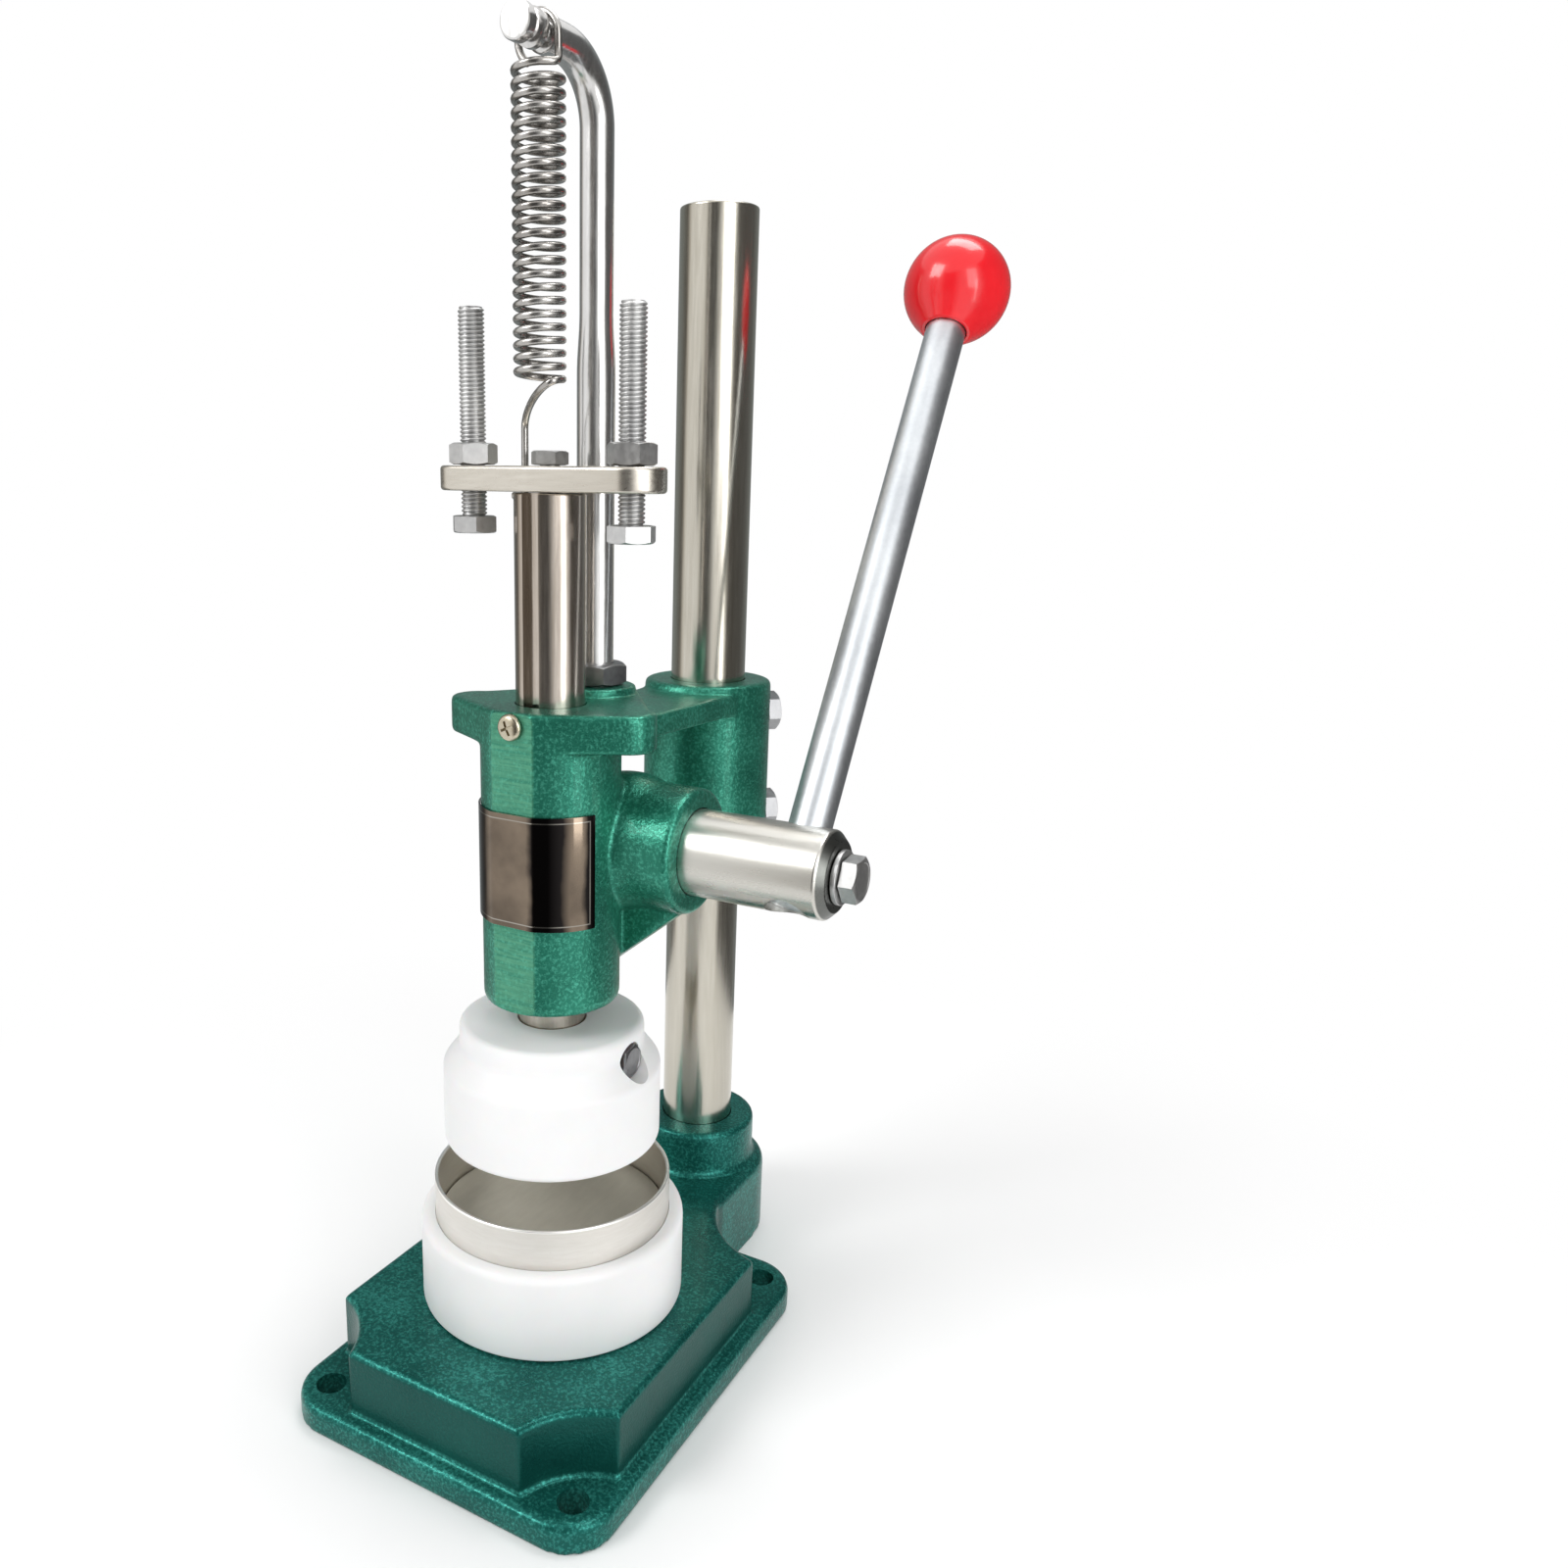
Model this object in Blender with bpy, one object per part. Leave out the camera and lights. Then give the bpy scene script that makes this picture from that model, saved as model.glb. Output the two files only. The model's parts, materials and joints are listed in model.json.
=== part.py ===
"""Hand press that forms tartlet shells: a rack and pinion ram over a pair of white dies.

Units are metres. X points to the lever side, Y to the column, Z up.
The origin is the middle of the base rectangle, on its underside.
"""

import math

import bmesh
import bpy
from mathutils import Matrix, Vector
from mathutils.geometry import convex_hull_2d, interpolate_bezier

for leftover in list(bpy.data.objects):
    bpy.data.objects.remove(leftover, do_unlink=True)

# Clearances and shared values
running_gap = 0.0003
overrun = 0.002
round_sides = 40
small_sides = 18

# Base casting
base_width = 0.121
base_depth = 0.153
base_corner_radius = 0.0165
flange_height = 0.0095
plinth_height = 0.032
plinth_inset = 0.0052
scallop_front_radius = 0.0315
scallop_rear_radius = 0.038
scallop_centre_out = 0.0035
bench_hole_inset = 0.012
bench_hole_radius = 0.005
base_wall = 0.008
base_roof = 0.010
rib_width = 0.012
cast_edge = 0.0012

# Column and its socket
ram_axis_y = -0.004
column_setback = 0.106
column_radius = 0.014
column_top = 0.3975
column_foot = 0.006
column_edge = 0.0012
socket_lobe_radius = 0.028
socket_ring_radius = 0.0233
socket_ring_height = 0.018

# Lower die, forming plate and tart ring
lower_die_radius = 0.0449
lower_die_height = 0.0297
lower_die_edge = 0.0025
tart_ring_radius = 0.04005
tart_ring_wall = 0.0012
tart_ring_height = 0.0234
tart_ring_seat_depth = 0.0097
forming_plate_thickness = 0.002
forming_plate_depth = 0.002
die_screw_radius = 0.004
die_screw_head_radius = 0.008
die_screw_length = 0.0437

# Head casting
head_bottom = 0.1395
front_barrel_height = 0.097
front_barrel_radius = 0.0223
front_facet_depth = 0.0012
ear_thickness = 0.012
ear_radius = 0.0085
stop_bolt_spacing = 0.0574
rod_boss_radius = 0.015
rod_seat_radius = 0.0135
rod_seat_rise = 0.0027
rod_setback = 0.0255
rear_barrel_radius = 0.024
rear_barrel_bottom = 0.165
rear_barrel_top = 0.231
top_web_rise = 0.228
top_web_thickness = 0.0078
top_web_front_width = 0.026
top_web_rear_width = 0.042
lower_web_thickness = 0.012
lower_web_rise = 0.192
lower_web_front_foot = 0.1425
lower_web_rear_foot = 0.168
pinion_barrel_radius = 0.0205
pinion_barrel_right = 0.0423
pinion_barrel_left = -0.0235
pinion_barrel_flare = 0.003
gusset_thickness = 0.012
gusset_foot = 0.1435
gusset_root = 0.008

# Rack and pinion
gear_module = 0.002
pinion_teeth = 12
pinion_height = 0.1895
pressure_angle = math.radians(20)
tooth_backlash = 0.0003
pinion_root_clearance = 0.0006
rack_tooth_rise = 0.0012
rack_tooth_depth = 0.0025
rack_bottom = 0.178
rack_tooth_count = 11
pinion_gear_width = 0.0204

# Pinion shaft, lever and knob
shaft_radius = 0.014
hub_length = 0.0477
hub_chamfer = 0.0028
lever_position = 0.077
lever_lean = math.radians(33)
lever_radius = 0.0068
lever_length = 0.2146
lever_foot_depth = 0.0115
knob_radius = 0.0181
knob_taper_angle = math.radians(44.4)
knob_rim_radius = 0.0083
knob_bore_depth = 0.013
lever_bolt_flats = 0.013
lever_bolt_head = 0.0053
lever_bolt_radius = 0.004
lever_washer_radius = 0.0085
lever_washer_thickness = 0.0016
end_washer_radius = 0.0165
end_washer_thickness = 0.0025
end_screw_radius = 0.004
end_screw_length = 0.016

# Ram
ram_radius = 0.011
ram_foot = 0.112
ram_top = 0.3004
keyway_width = 0.0058
keyway_depth = 0.003
ram_edge = 0.0008

# Stop plate and its bolts
stop_plate_thickness = 0.0075
stop_plate_end_radius = 0.0103
stop_plate_middle_radius = 0.013
plate_edge = 0.0008
plate_bolt_radius = 0.003
plate_bolt_flats = 0.010
plate_bolt_head = 0.0042
plate_bolt_length = 0.020
stop_bolt_radius = 0.004
stop_bolt_flats = 0.013
stop_bolt_head = 0.0053
stop_bolt_length = 0.0615
stop_bolt_drop_left = 0.0076
stop_bolt_drop_right = 0.0090
stop_nut_height = 0.0065

# Upper die
upper_die_bottom = 0.0901
upper_die_radius = 0.03625
upper_die_step_radius = 0.0307
upper_die_body_height = 0.026
upper_die_shoulder = 0.010
upper_die_height = 0.0411
upper_die_edge = 0.0022
upper_die_top_edge = 0.003
upper_die_bolt_height = 0.1225
upper_die_bolt_radius = 0.003
upper_die_bolt_flats = 0.010
upper_die_bolt_head = 0.0042
upper_die_bolt_recess_radius = 0.0068
upper_die_bolt_recess_depth = 0.0036

# Small fasteners on the head
guide_screw_height = 0.232
guide_screw_radius = 0.0025
guide_screw_head_radius = 0.0042
guide_screw_head = 0.0022
guide_screw_crown_share = 0.8
guide_screw_rise_share = 0.87
guide_screw_cross_share = 0.6
clamp_bolt_angle = math.radians(45)
clamp_bolt_radius = 0.004
clamp_bolt_flats = 0.013
clamp_bolt_head = 0.0053
clamp_bolt_upper_height = 0.2175
clamp_bolt_lower_height = 0.1785
clamp_spot_share = 0.62
column_screw_radius = 0.003

# Name plate
name_plate_thickness = 0.0005
name_plate_place_share = 0.511
name_plate_height = 0.0365
name_plate_half_angle = math.radians(70)

# Spring rod
rod_radius = 0.006
rod_upper_radius = 0.0052
rod_thread_depth = 0.0085
rod_taper_place_share = 0.6065
rod_taper_length = 0.013
rod_arm_height = 0.424
rod_bend_radius = 0.0185
rod_reach = 0.0415
rod_groove_radius = 0.0035
rod_groove_width = 0.0034
rod_groove_step = 0.0002
rod_collar_width = 0.0026
rod_end_width = 0.0034
rod_nut_flats = 0.0185
rod_nut_height = 0.0068
rod_bend_steps = 10

# Return spring
spring_wire_radius = 0.0011
spring_coil_radius = 0.0067
spring_pitch = 0.0036
spring_rise = 0.0243
spring_lead = 0.0069
spring_points_per_coil = 9
spring_loop_points = 12
spring_loop_start = math.radians(240)
hook_hole_radius = 0.002
hook_offset_x = -0.0119
hook_setback = 0.0039
hook_toe = 0.0045
hook_bend = 0.0018
hook_drop = 0.011

# Derived places
half_stop_spacing = stop_bolt_spacing / 2
column_axis_y = ram_axis_y + column_setback
rod_axis_y = ram_axis_y + rod_setback
head_top = head_bottom + front_barrel_height
ear_bottom = head_top - ear_thickness
rod_seat_top = head_top + rod_seat_rise
plinth_half_width = base_width / 2 - plinth_inset
plinth_half_depth = base_depth / 2 - plinth_inset
socket_top = plinth_height + socket_ring_height
lower_die_bottom = plinth_height + running_gap
lower_die_top = lower_die_bottom + lower_die_height
forming_plate_top = lower_die_top - forming_plate_depth
forming_plate_bottom = forming_plate_top - forming_plate_thickness
die_floor = forming_plate_bottom - running_gap
tart_ring_bottom = lower_die_top - tart_ring_seat_depth
pitch_radius = gear_module * pinion_teeth / 2
tooth_pitch = math.pi * gear_module
rack_tip = ram_radius - gear_module / 2
rack_pitch_line = rack_tip - rack_tooth_rise
rack_root = rack_pitch_line - rack_tooth_depth
pinion_setback = rack_pitch_line + pitch_radius
pinion_axis_y = ram_axis_y + pinion_setback
hub_end = pinion_barrel_right + running_gap + hub_length
stop_plate_bottom = ram_top + running_gap
stop_plate_top = stop_plate_bottom + stop_plate_thickness
lever_direction = Vector((0, math.sin(lever_lean), math.cos(lever_lean)))
lever_centre = Vector((lever_position, pinion_axis_y, pinion_height))
spring_axis_y = rod_axis_y - rod_reach + rod_end_width + 1.5 * rod_groove_width + rod_collar_width
loop_top = rod_arm_height + rod_groove_radius + running_gap + spring_wire_radius
loop_centre_height = loop_top - spring_coil_radius
spring_bottom = stop_plate_top + spring_rise
spring_coils = round((loop_centre_height - spring_lead - spring_bottom) / spring_pitch)


# Basic solids

def mesh_object(name, work):
    """Turn a bmesh into an object with outward faces."""
    bmesh.ops.recalc_face_normals(work, faces=work.faces)
    mesh = bpy.data.meshes.new(name)
    work.to_mesh(mesh)
    work.free()
    item = bpy.data.objects.new(name, mesh)
    bpy.context.scene.collection.objects.link(item)
    return item


def loft(name, loops, hollow=False):
    """Join rings of equally many points; a hollow loft closes on its first ring."""
    work = bmesh.new()
    rings = [[work.verts.new(point) for point in loop] for loop in loops]
    pairs = list(zip(rings, rings[1:]))
    if hollow:
        pairs.append((rings[-1], rings[0]))
    for low, high in pairs:
        for index in range(len(low)):
            work.faces.new((low[index - 1], low[index], high[index], high[index - 1]))
    if not hollow:
        work.faces.new(reversed(rings[0]))
        work.faces.new(rings[-1])
    return mesh_object(name, work)


def circle(radius, height, sides=round_sides, centre=(0, 0)):
    middle = Vector((centre[0], centre[1], height))
    turns = [2 * math.pi * step / sides for step in range(sides)]
    return [middle + Vector((math.cos(turn), math.sin(turn), 0)) * radius for turn in turns]


def hexagon(flats, height, sides=small_sides):
    """A hexagon drawn with the points of a circle, so that it lofts to one."""
    sixth = math.pi / 3
    points = []
    for step in range(sides):
        angle = 2 * math.pi * step / sides
        from_flat = angle % sixth - sixth / 2
        reach = flats / 2 / math.cos(from_flat)
        points.append(Vector((reach * math.cos(angle), reach * math.sin(angle), height)))
    return points


def turned(name, profile, hollow=False, sides=round_sides):
    """A solid of revolution about Z from (radius, height) pairs."""
    return loft(name, [circle(radius, height, sides) for radius, height in profile], hollow)


def prism(name, outline, low, high):
    return loft(name, [[Vector((x, y, level)) for x, y in outline] for level in (low, high)])


def box(name, low, high):
    outline = [(low[0], low[1]), (high[0], low[1]), (high[0], high[1]), (low[0], high[1])]
    return prism(name, outline, low[2], high[2])


def rod(name, radius, low, high, sides=round_sides):
    return turned(name, [(radius, low), (radius, high)], sides=sides)


def moved(item, matrix):
    """Bake a placement into the mesh."""
    item.data.transform(matrix)
    return item


def at(item, x=0, y=0, z=0):
    return moved(item, Matrix.Translation((x, y, z)))


def along(item, origin, direction):
    """Stand a solid made along Z on an origin, pointing in a direction."""
    turn = Vector(direction).to_track_quat("Z", "Y").to_matrix().to_4x4()
    return moved(item, Matrix.Translation(origin) @ turn)


def combine(body, tools, operation):
    """Join or cut a body with tools, which are used up."""
    for tool in tools:
        tool.hide_render = True
        tool.display_type = "WIRE"
        step = body.modifiers.new("combine", "BOOLEAN")
        step.operation = operation
        step.solver = "EXACT"
        step.object = tool
    bpy.context.view_layer.update()
    graph = bpy.context.evaluated_depsgraph_get()
    work = bmesh.new()
    work.from_mesh(body.evaluated_get(graph).to_mesh())
    bmesh.ops.remove_doubles(work, verts=work.verts, dist=running_gap / 1000)
    body.modifiers.clear()
    work.to_mesh(body.data)
    work.free()
    for tool in tools:
        bpy.data.objects.remove(tool, do_unlink=True)
    return body


def join(body, *tools):
    return combine(body, tools, "UNION")


def cut(body, *tools):
    return combine(body, tools, "DIFFERENCE")


def arc_points(centre, radius, start, end, steps):
    """Points on an arc in a plane, start and end angles in radians."""
    return [
        (
            centre[0] + radius * math.cos(start + (end - start) * step / steps),
            centre[1] + radius * math.sin(start + (end - start) * step / steps),
        )
        for step in range(steps + 1)
    ]


def hull(circles, inset=0, sides=round_sides):
    """The outline of a band stretched round circles given as (x, y, radius), drawn in by an inset."""
    full = []
    drawn_in = []
    for x, y, radius in circles:
        full += [point.xy for point in circle(radius, 0, sides, (x, y))]
        drawn_in += [point.xy for point in circle(radius - inset, 0, sides, (x, y))]
    return [drawn_in[index] for index in convex_hull_2d(full)]


# Fasteners

def hex_bolt(name, flats, head, radius, length, edge_share=0.12):
    """A hexagon bolt along Z: its seat at zero, its head above, its shank below."""
    edge = flats * edge_share / 2
    inner = flats / 2 - edge
    return loft(name, [
        circle(radius - radius * edge_share, -length, small_sides),
        circle(radius, -length + radius * edge_share, small_sides),
        circle(radius, 0, small_sides),
        hexagon(flats, 0),
        hexagon(flats, head - edge),
        circle(inner, head, small_sides),
    ])


def hex_nut(name, flats, height, bore):
    edge = height / 10
    return loft(name, [
        circle(bore, 0, small_sides),
        circle(flats / 2, 0, small_sides),
        hexagon(flats, edge),
        hexagon(flats, height - edge),
        circle(flats / 2, height, small_sides),
        circle(bore, height, small_sides),
    ], hollow=True)


def washer(name, radius, bore, thickness):
    return turned(name, [(bore, 0), (radius, 0), (radius, thickness), (bore, thickness)],
                  hollow=True, sides=small_sides)


# Base and column

def rounded_rectangle(half_width, half_depth, radius, steps=6):
    outline = []
    for quarter, (side_x, side_y) in enumerate(((1, 1), (-1, 1), (-1, -1), (1, -1))):
        centre = (side_x * (half_width - radius), side_y * (half_depth - radius))
        start = quarter * math.pi / 2
        outline += arc_points(centre, radius, start, start + math.pi / 2, steps)
    return outline


def scalloped_rectangle(half_width, half_depth, drawn_in=0, steps=8):
    """A rectangle whose corners are hollowed by circles centred just outside the base's corners."""
    centre = (base_width / 2 + scallop_centre_out, base_depth / 2 + scallop_centre_out)
    outline = []
    for side_x, side_y in ((1, 1), (-1, 1), (-1, -1), (1, -1)):
        radius = scallop_rear_radius if side_y > 0 else scallop_front_radius
        radius += drawn_in
        start = math.acos((centre[0] - half_width) / radius) - math.pi
        end = math.asin((centre[1] - half_depth) / radius) - math.pi
        corner = arc_points(centre, radius, start, end, steps)
        points = [(side_x * x, side_y * y) for x, y in corner]
        outline += points if side_x == side_y else points[::-1]
    return outline


def base_pocket():
    """The hollow underside: six cells between a long rib and two cross ribs."""
    half_width = plinth_half_width - base_wall
    half_depth = plinth_half_depth - base_wall
    outline = scalloped_rectangle(half_width, half_depth, base_wall)
    pocket = prism("pocket", outline, -overrun, plinth_height - base_roof)
    low = -2 * overrun
    ribs = [box("rib", (-rib_width / 2, -base_depth, low), (rib_width / 2, base_depth, plinth_height))]
    for side in (-1, 1):
        middle = side * half_depth / 3
        ribs.append(box("rib", (-base_width, middle - rib_width / 2, low),
                        (base_width, middle + rib_width / 2, plinth_height)))
    return cut(pocket, *ribs)


def base_casting():
    half_width = base_width / 2
    half_depth = base_depth / 2
    inner = cast_edge
    flange = loft("base_casting", [
        [Vector((x, y, 0)) for x, y in rounded_rectangle(half_width, half_depth, base_corner_radius)],
        [Vector((x, y, flange_height - inner))
         for x, y in rounded_rectangle(half_width, half_depth, base_corner_radius)],
        [Vector((x, y, flange_height))
         for x, y in rounded_rectangle(half_width - inner, half_depth - inner, base_corner_radius - inner)],
    ])
    plinth = loft("plinth", [
        [Vector((x, y, inner))
         for x, y in scalloped_rectangle(plinth_half_width, plinth_half_depth)],
        [Vector((x, y, plinth_height - inner))
         for x, y in scalloped_rectangle(plinth_half_width, plinth_half_depth)],
        [Vector((x, y, plinth_height))
         for x, y in scalloped_rectangle(plinth_half_width - inner, plinth_half_depth - inner, inner)],
    ])
    lobe_outline = hull([
        (0, column_axis_y, socket_lobe_radius),
        (0, plinth_half_depth - socket_lobe_radius, socket_lobe_radius),
    ])
    lobe = prism("lobe", lobe_outline, 0, plinth_height - inner / 2)
    ring = at(turned("ring", [
        (socket_lobe_radius - inner, inner),
        (socket_lobe_radius - inner, plinth_height - inner),
        (socket_ring_radius + inner, plinth_height),
        (socket_ring_radius, plinth_height + 2 * inner),
        (socket_ring_radius, socket_top - inner),
        (socket_ring_radius - inner, socket_top),
    ]), y=column_axis_y)
    body = join(flange, plinth, lobe, ring)
    tools = [base_pocket()]
    hole_x = half_width - bench_hole_inset
    hole_y = half_depth - bench_hole_inset
    for x in (-hole_x, hole_x):
        for y in (-hole_y, hole_y):
            hole = rod("hole", bench_hole_radius, -overrun, plinth_height + overrun, small_sides)
            tools.append(at(hole, x, y))
    bore = rod("bore", column_radius + running_gap, column_foot - running_gap, socket_top + overrun)
    tools.append(at(bore, y=column_axis_y))
    screw_hole = rod("screw_hole", die_screw_radius + running_gap,
                     die_floor - die_screw_length - running_gap, plinth_height + overrun, small_sides)
    tools.append(at(screw_hole, y=ram_axis_y))
    set_hole = rod("set_hole", column_screw_radius + running_gap, -column_radius, socket_lobe_radius,
                   small_sides)
    tools.append(along(set_hole, column_screw_seat(), (0, 1, 0)))
    return cut(body, *tools)


def column_screw_seat():
    """The point on the column's back that the socket's grub screw presses on."""
    return Vector((0, column_axis_y + column_radius + running_gap, (plinth_height + socket_top) / 2))


def column():
    shape = turned("column", [
        (column_radius - column_edge, column_foot),
        (column_radius, column_foot + column_edge),
        (column_radius, column_top - column_edge),
        (column_radius - column_edge, column_top),
    ])
    return at(shape, y=column_axis_y)


def column_set_screw():
    length = socket_ring_radius - column_radius - running_gap
    shape = turned("column_set_screw", [
        (column_screw_radius / 2, 0),
        (column_screw_radius, column_screw_radius / 2),
        (column_screw_radius, length - running_gap),
        (column_screw_radius - running_gap, length),
    ], sides=small_sides)
    socket = loft("socket", [hexagon(column_screw_radius, level)
                             for level in (length / 2, length + overrun)])
    return along(cut(shape, socket), column_screw_seat(), (0, 1, 0))


# Lower die set

def lower_die():
    edge = lower_die_edge
    top = lower_die_top
    seat = tart_ring_bottom - running_gap
    groove_inner = tart_ring_radius - tart_ring_wall - running_gap
    groove_outer = tart_ring_radius + running_gap
    shape = turned("lower_die", [
        (lower_die_radius - edge / 2, lower_die_bottom),
        (lower_die_radius, lower_die_bottom + edge / 2),
        (lower_die_radius, top - edge),
        (lower_die_radius - edge * (1 - math.cos(math.pi / 4)), top - edge * (1 - math.sin(math.pi / 4))),
        (lower_die_radius - edge, top),
        (groove_outer, top),
        (groove_outer, seat),
        (groove_inner, seat),
        (groove_inner, die_floor),
        (die_screw_radius + running_gap, die_floor),
        (die_screw_radius + running_gap, lower_die_bottom),
    ], hollow=True, sides=2 * small_sides)
    return at(cut(shape, die_screw_clearance()), y=ram_axis_y)


def die_screw_profile(gap):
    """A countersunk screw whose head lies flush with the die's floor, under the forming plate."""
    head_depth = die_screw_head_radius - die_screw_radius
    return [
        (die_screw_radius + gap, die_floor - die_screw_length - gap),
        (die_screw_radius + gap, die_floor - head_depth - gap),
        (die_screw_head_radius + gap, die_floor),
    ]


def die_screw_clearance():
    profile = die_screw_profile(running_gap)
    radius, top = profile[-1]
    return turned("clearance", profile + [(radius, top + overrun)], sides=small_sides)


def forming_plate():
    radius = tart_ring_radius - tart_ring_wall - running_gap
    plate = rod("forming_plate", radius, forming_plate_bottom, forming_plate_top, 2 * small_sides)
    return at(plate, y=ram_axis_y)


def lower_die_screw():
    drive = loft("drive", [hexagon(die_screw_radius, level) for level in
                           (die_floor - die_screw_radius / 2, die_floor + overrun)])
    screw = turned("lower_die_screw", die_screw_profile(0), sides=small_sides)
    return at(cut(screw, drive), y=ram_axis_y)


def tart_ring():
    inner = tart_ring_radius - tart_ring_wall
    top = tart_ring_bottom + tart_ring_height
    edge = tart_ring_wall / 4
    shape = turned("tart_ring", [
        (inner, tart_ring_bottom),
        (tart_ring_radius, tart_ring_bottom),
        (tart_ring_radius, top - edge),
        (tart_ring_radius - edge, top),
        (inner + edge, top),
        (inner, top - edge),
    ], hollow=True, sides=3 * small_sides)
    return at(shape, y=ram_axis_y)


# Head casting

def head_casting():
    edge = cast_edge
    barrel = at(turned("head_casting", [
        (front_barrel_radius - edge, head_bottom),
        (front_barrel_radius, head_bottom + edge),
        (front_barrel_radius, head_top - edge),
        (front_barrel_radius - edge, head_top),
    ]), y=ram_axis_y)
    rear = at(turned("rear_barrel", [
        (rear_barrel_radius - edge, rear_barrel_bottom),
        (rear_barrel_radius, rear_barrel_bottom + edge),
        (rear_barrel_radius, rear_barrel_top - 2 * edge),
        (rear_barrel_radius - 2 * edge, rear_barrel_top),
    ]), y=column_axis_y)
    body = join(barrel, rear, ear_flange(), rod_boss(), top_web(), lower_web(), pinion_barrel(), gusset())
    return cut(body, *head_bores())


def flange_layers(name, circles, low, high):
    """A flat plate with its top edge eased."""
    full = hull(circles)
    eased = hull(circles, cast_edge)
    return loft(name, [
        [Vector((x, y, low)) for x, y in full],
        [Vector((x, y, high - cast_edge)) for x, y in full],
        [Vector((x, y, high)) for x, y in eased],
    ])


def ear_flange():
    return flange_layers("ears", [
        (-half_stop_spacing, ram_axis_y, ear_radius),
        (0, ram_axis_y, front_barrel_radius - 2 * cast_edge),
        (half_stop_spacing, ram_axis_y, ear_radius),
    ], ear_bottom, head_top)


def rod_boss():
    """The boss behind the front barrel, with a raised round seat for the spring rod's nut."""
    boss = flange_layers("boss", [
        (0, ram_axis_y, rod_boss_radius),
        (0, rod_axis_y, rod_boss_radius),
    ], ear_bottom, head_top)
    edge = cast_edge / 2
    seat = at(turned("seat", [
        (rod_seat_radius, ear_bottom + cast_edge),
        (rod_seat_radius, rod_seat_top - edge),
        (rod_seat_radius - edge, rod_seat_top),
    ]), y=rod_axis_y)
    return join(boss, seat)


def top_web():
    """The flat web from the boss back to the rear barrel, wider at the rear."""
    front_y = ram_axis_y + ram_radius
    back_y = column_axis_y
    half_front = top_web_front_width / 2
    half_back = top_web_rear_width / 2
    outline = [(-half_front, front_y), (half_front, front_y), (half_back, back_y), (-half_back, back_y)]
    return prism("web", outline, top_web_rise - top_web_thickness, top_web_rise)


def lower_web():
    """The upright web between the barrels, cut away below towards the column."""
    outline = [
        (ram_axis_y, lower_web_front_foot),
        (column_axis_y, lower_web_rear_foot),
        (column_axis_y, lower_web_rise),
        (ram_axis_y, lower_web_rise),
    ]
    half = lower_web_thickness / 2
    return loft("web", [[Vector((x, y, z)) for y, z in outline] for x in (-half, half)])


def pinion_barrel():
    edge = cast_edge
    flare = pinion_barrel_flare
    right = pinion_barrel_right
    shape = turned("pinion_barrel", [
        (pinion_barrel_radius - edge, pinion_barrel_left),
        (pinion_barrel_radius, pinion_barrel_left + edge),
        (pinion_barrel_radius, 0),
        (pinion_barrel_radius + flare, ram_radius),
        (pinion_barrel_radius + flare, front_barrel_radius - flare),
        (pinion_barrel_radius, front_barrel_radius + flare),
        (pinion_barrel_radius, right - edge),
        (pinion_barrel_radius - edge, right),
    ])
    return along(shape, (0, pinion_axis_y, pinion_height), (1, 0, 0))


def gusset():
    """The rib that carries the pinion barrel from the foot of the front barrel."""
    end = pinion_barrel_right - 2 * cast_edge
    outline = [
        (0, gusset_foot),
        (gusset_root, gusset_foot),
        (end, pinion_height - pinion_barrel_radius + cast_edge),
        (end, pinion_height),
        (0, pinion_height),
    ]
    half = gusset_thickness / 2
    return loft("gusset", [
        [Vector((x, y, z)) for x, z in outline]
        for y in (pinion_axis_y - half, pinion_axis_y + half)
    ])


def head_bores():
    ram_bore = at(rod("bore", ram_radius + running_gap, head_bottom - overrun, head_top + overrun),
                  y=ram_axis_y)
    column_bore = at(rod("bore", column_radius + running_gap, rear_barrel_bottom - overrun,
                         rear_barrel_top + overrun), y=column_axis_y)
    pinion_bore = along(rod("bore", shaft_radius + running_gap, pinion_barrel_left - overrun,
                            pinion_barrel_right + overrun), (0, pinion_axis_y, pinion_height), (1, 0, 0))
    rod_hole = at(rod("hole", rod_radius + running_gap, ear_bottom - overrun, rod_seat_top + overrun,
                      small_sides), y=rod_axis_y)
    facet_y = ram_axis_y - front_barrel_radius + front_facet_depth
    facet = box("facet", (-front_barrel_radius, facet_y - front_barrel_radius, head_bottom - overrun),
                (front_barrel_radius, facet_y, head_top + overrun))
    screw_hole = along(rod("hole", guide_screw_radius + running_gap, 0, front_barrel_radius, small_sides),
                       (0, ram_axis_y, guide_screw_height), (0, -1, 0))
    tools = [ram_bore, column_bore, pinion_bore, rod_hole, facet, screw_hole]
    for height in (clamp_bolt_upper_height, clamp_bolt_lower_height):
        hole = rod("hole", clamp_bolt_radius + running_gap, 0, rear_barrel_radius + overrun, small_sides)
        tools.append(along(hole, (0, column_axis_y, height), clamp_direction()))
        seat = rod("seat", clamp_bolt_flats * clamp_spot_share, clamp_seat_radius(),
                   rear_barrel_radius + overrun, small_sides)
        tools.append(along(seat, (0, column_axis_y, height), clamp_direction()))
    return tools


# Parts on the head

def clamp_direction():
    return Vector((math.sin(clamp_bolt_angle), math.cos(clamp_bolt_angle), 0))


def clamp_seat_radius():
    """A flat spot for the bolt head, cut just below the barrel's surface."""
    half = clamp_bolt_flats * clamp_spot_share
    return math.sqrt(rear_barrel_radius ** 2 - half ** 2)


def head_set_bolt(name, height):
    seat = clamp_seat_radius() + running_gap
    reach = seat - column_radius - running_gap
    bolt = hex_bolt(name, clamp_bolt_flats, clamp_bolt_head, clamp_bolt_radius, reach)
    origin = Vector((0, column_axis_y, height)) + clamp_direction() * seat
    return along(bolt, origin, clamp_direction())


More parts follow.
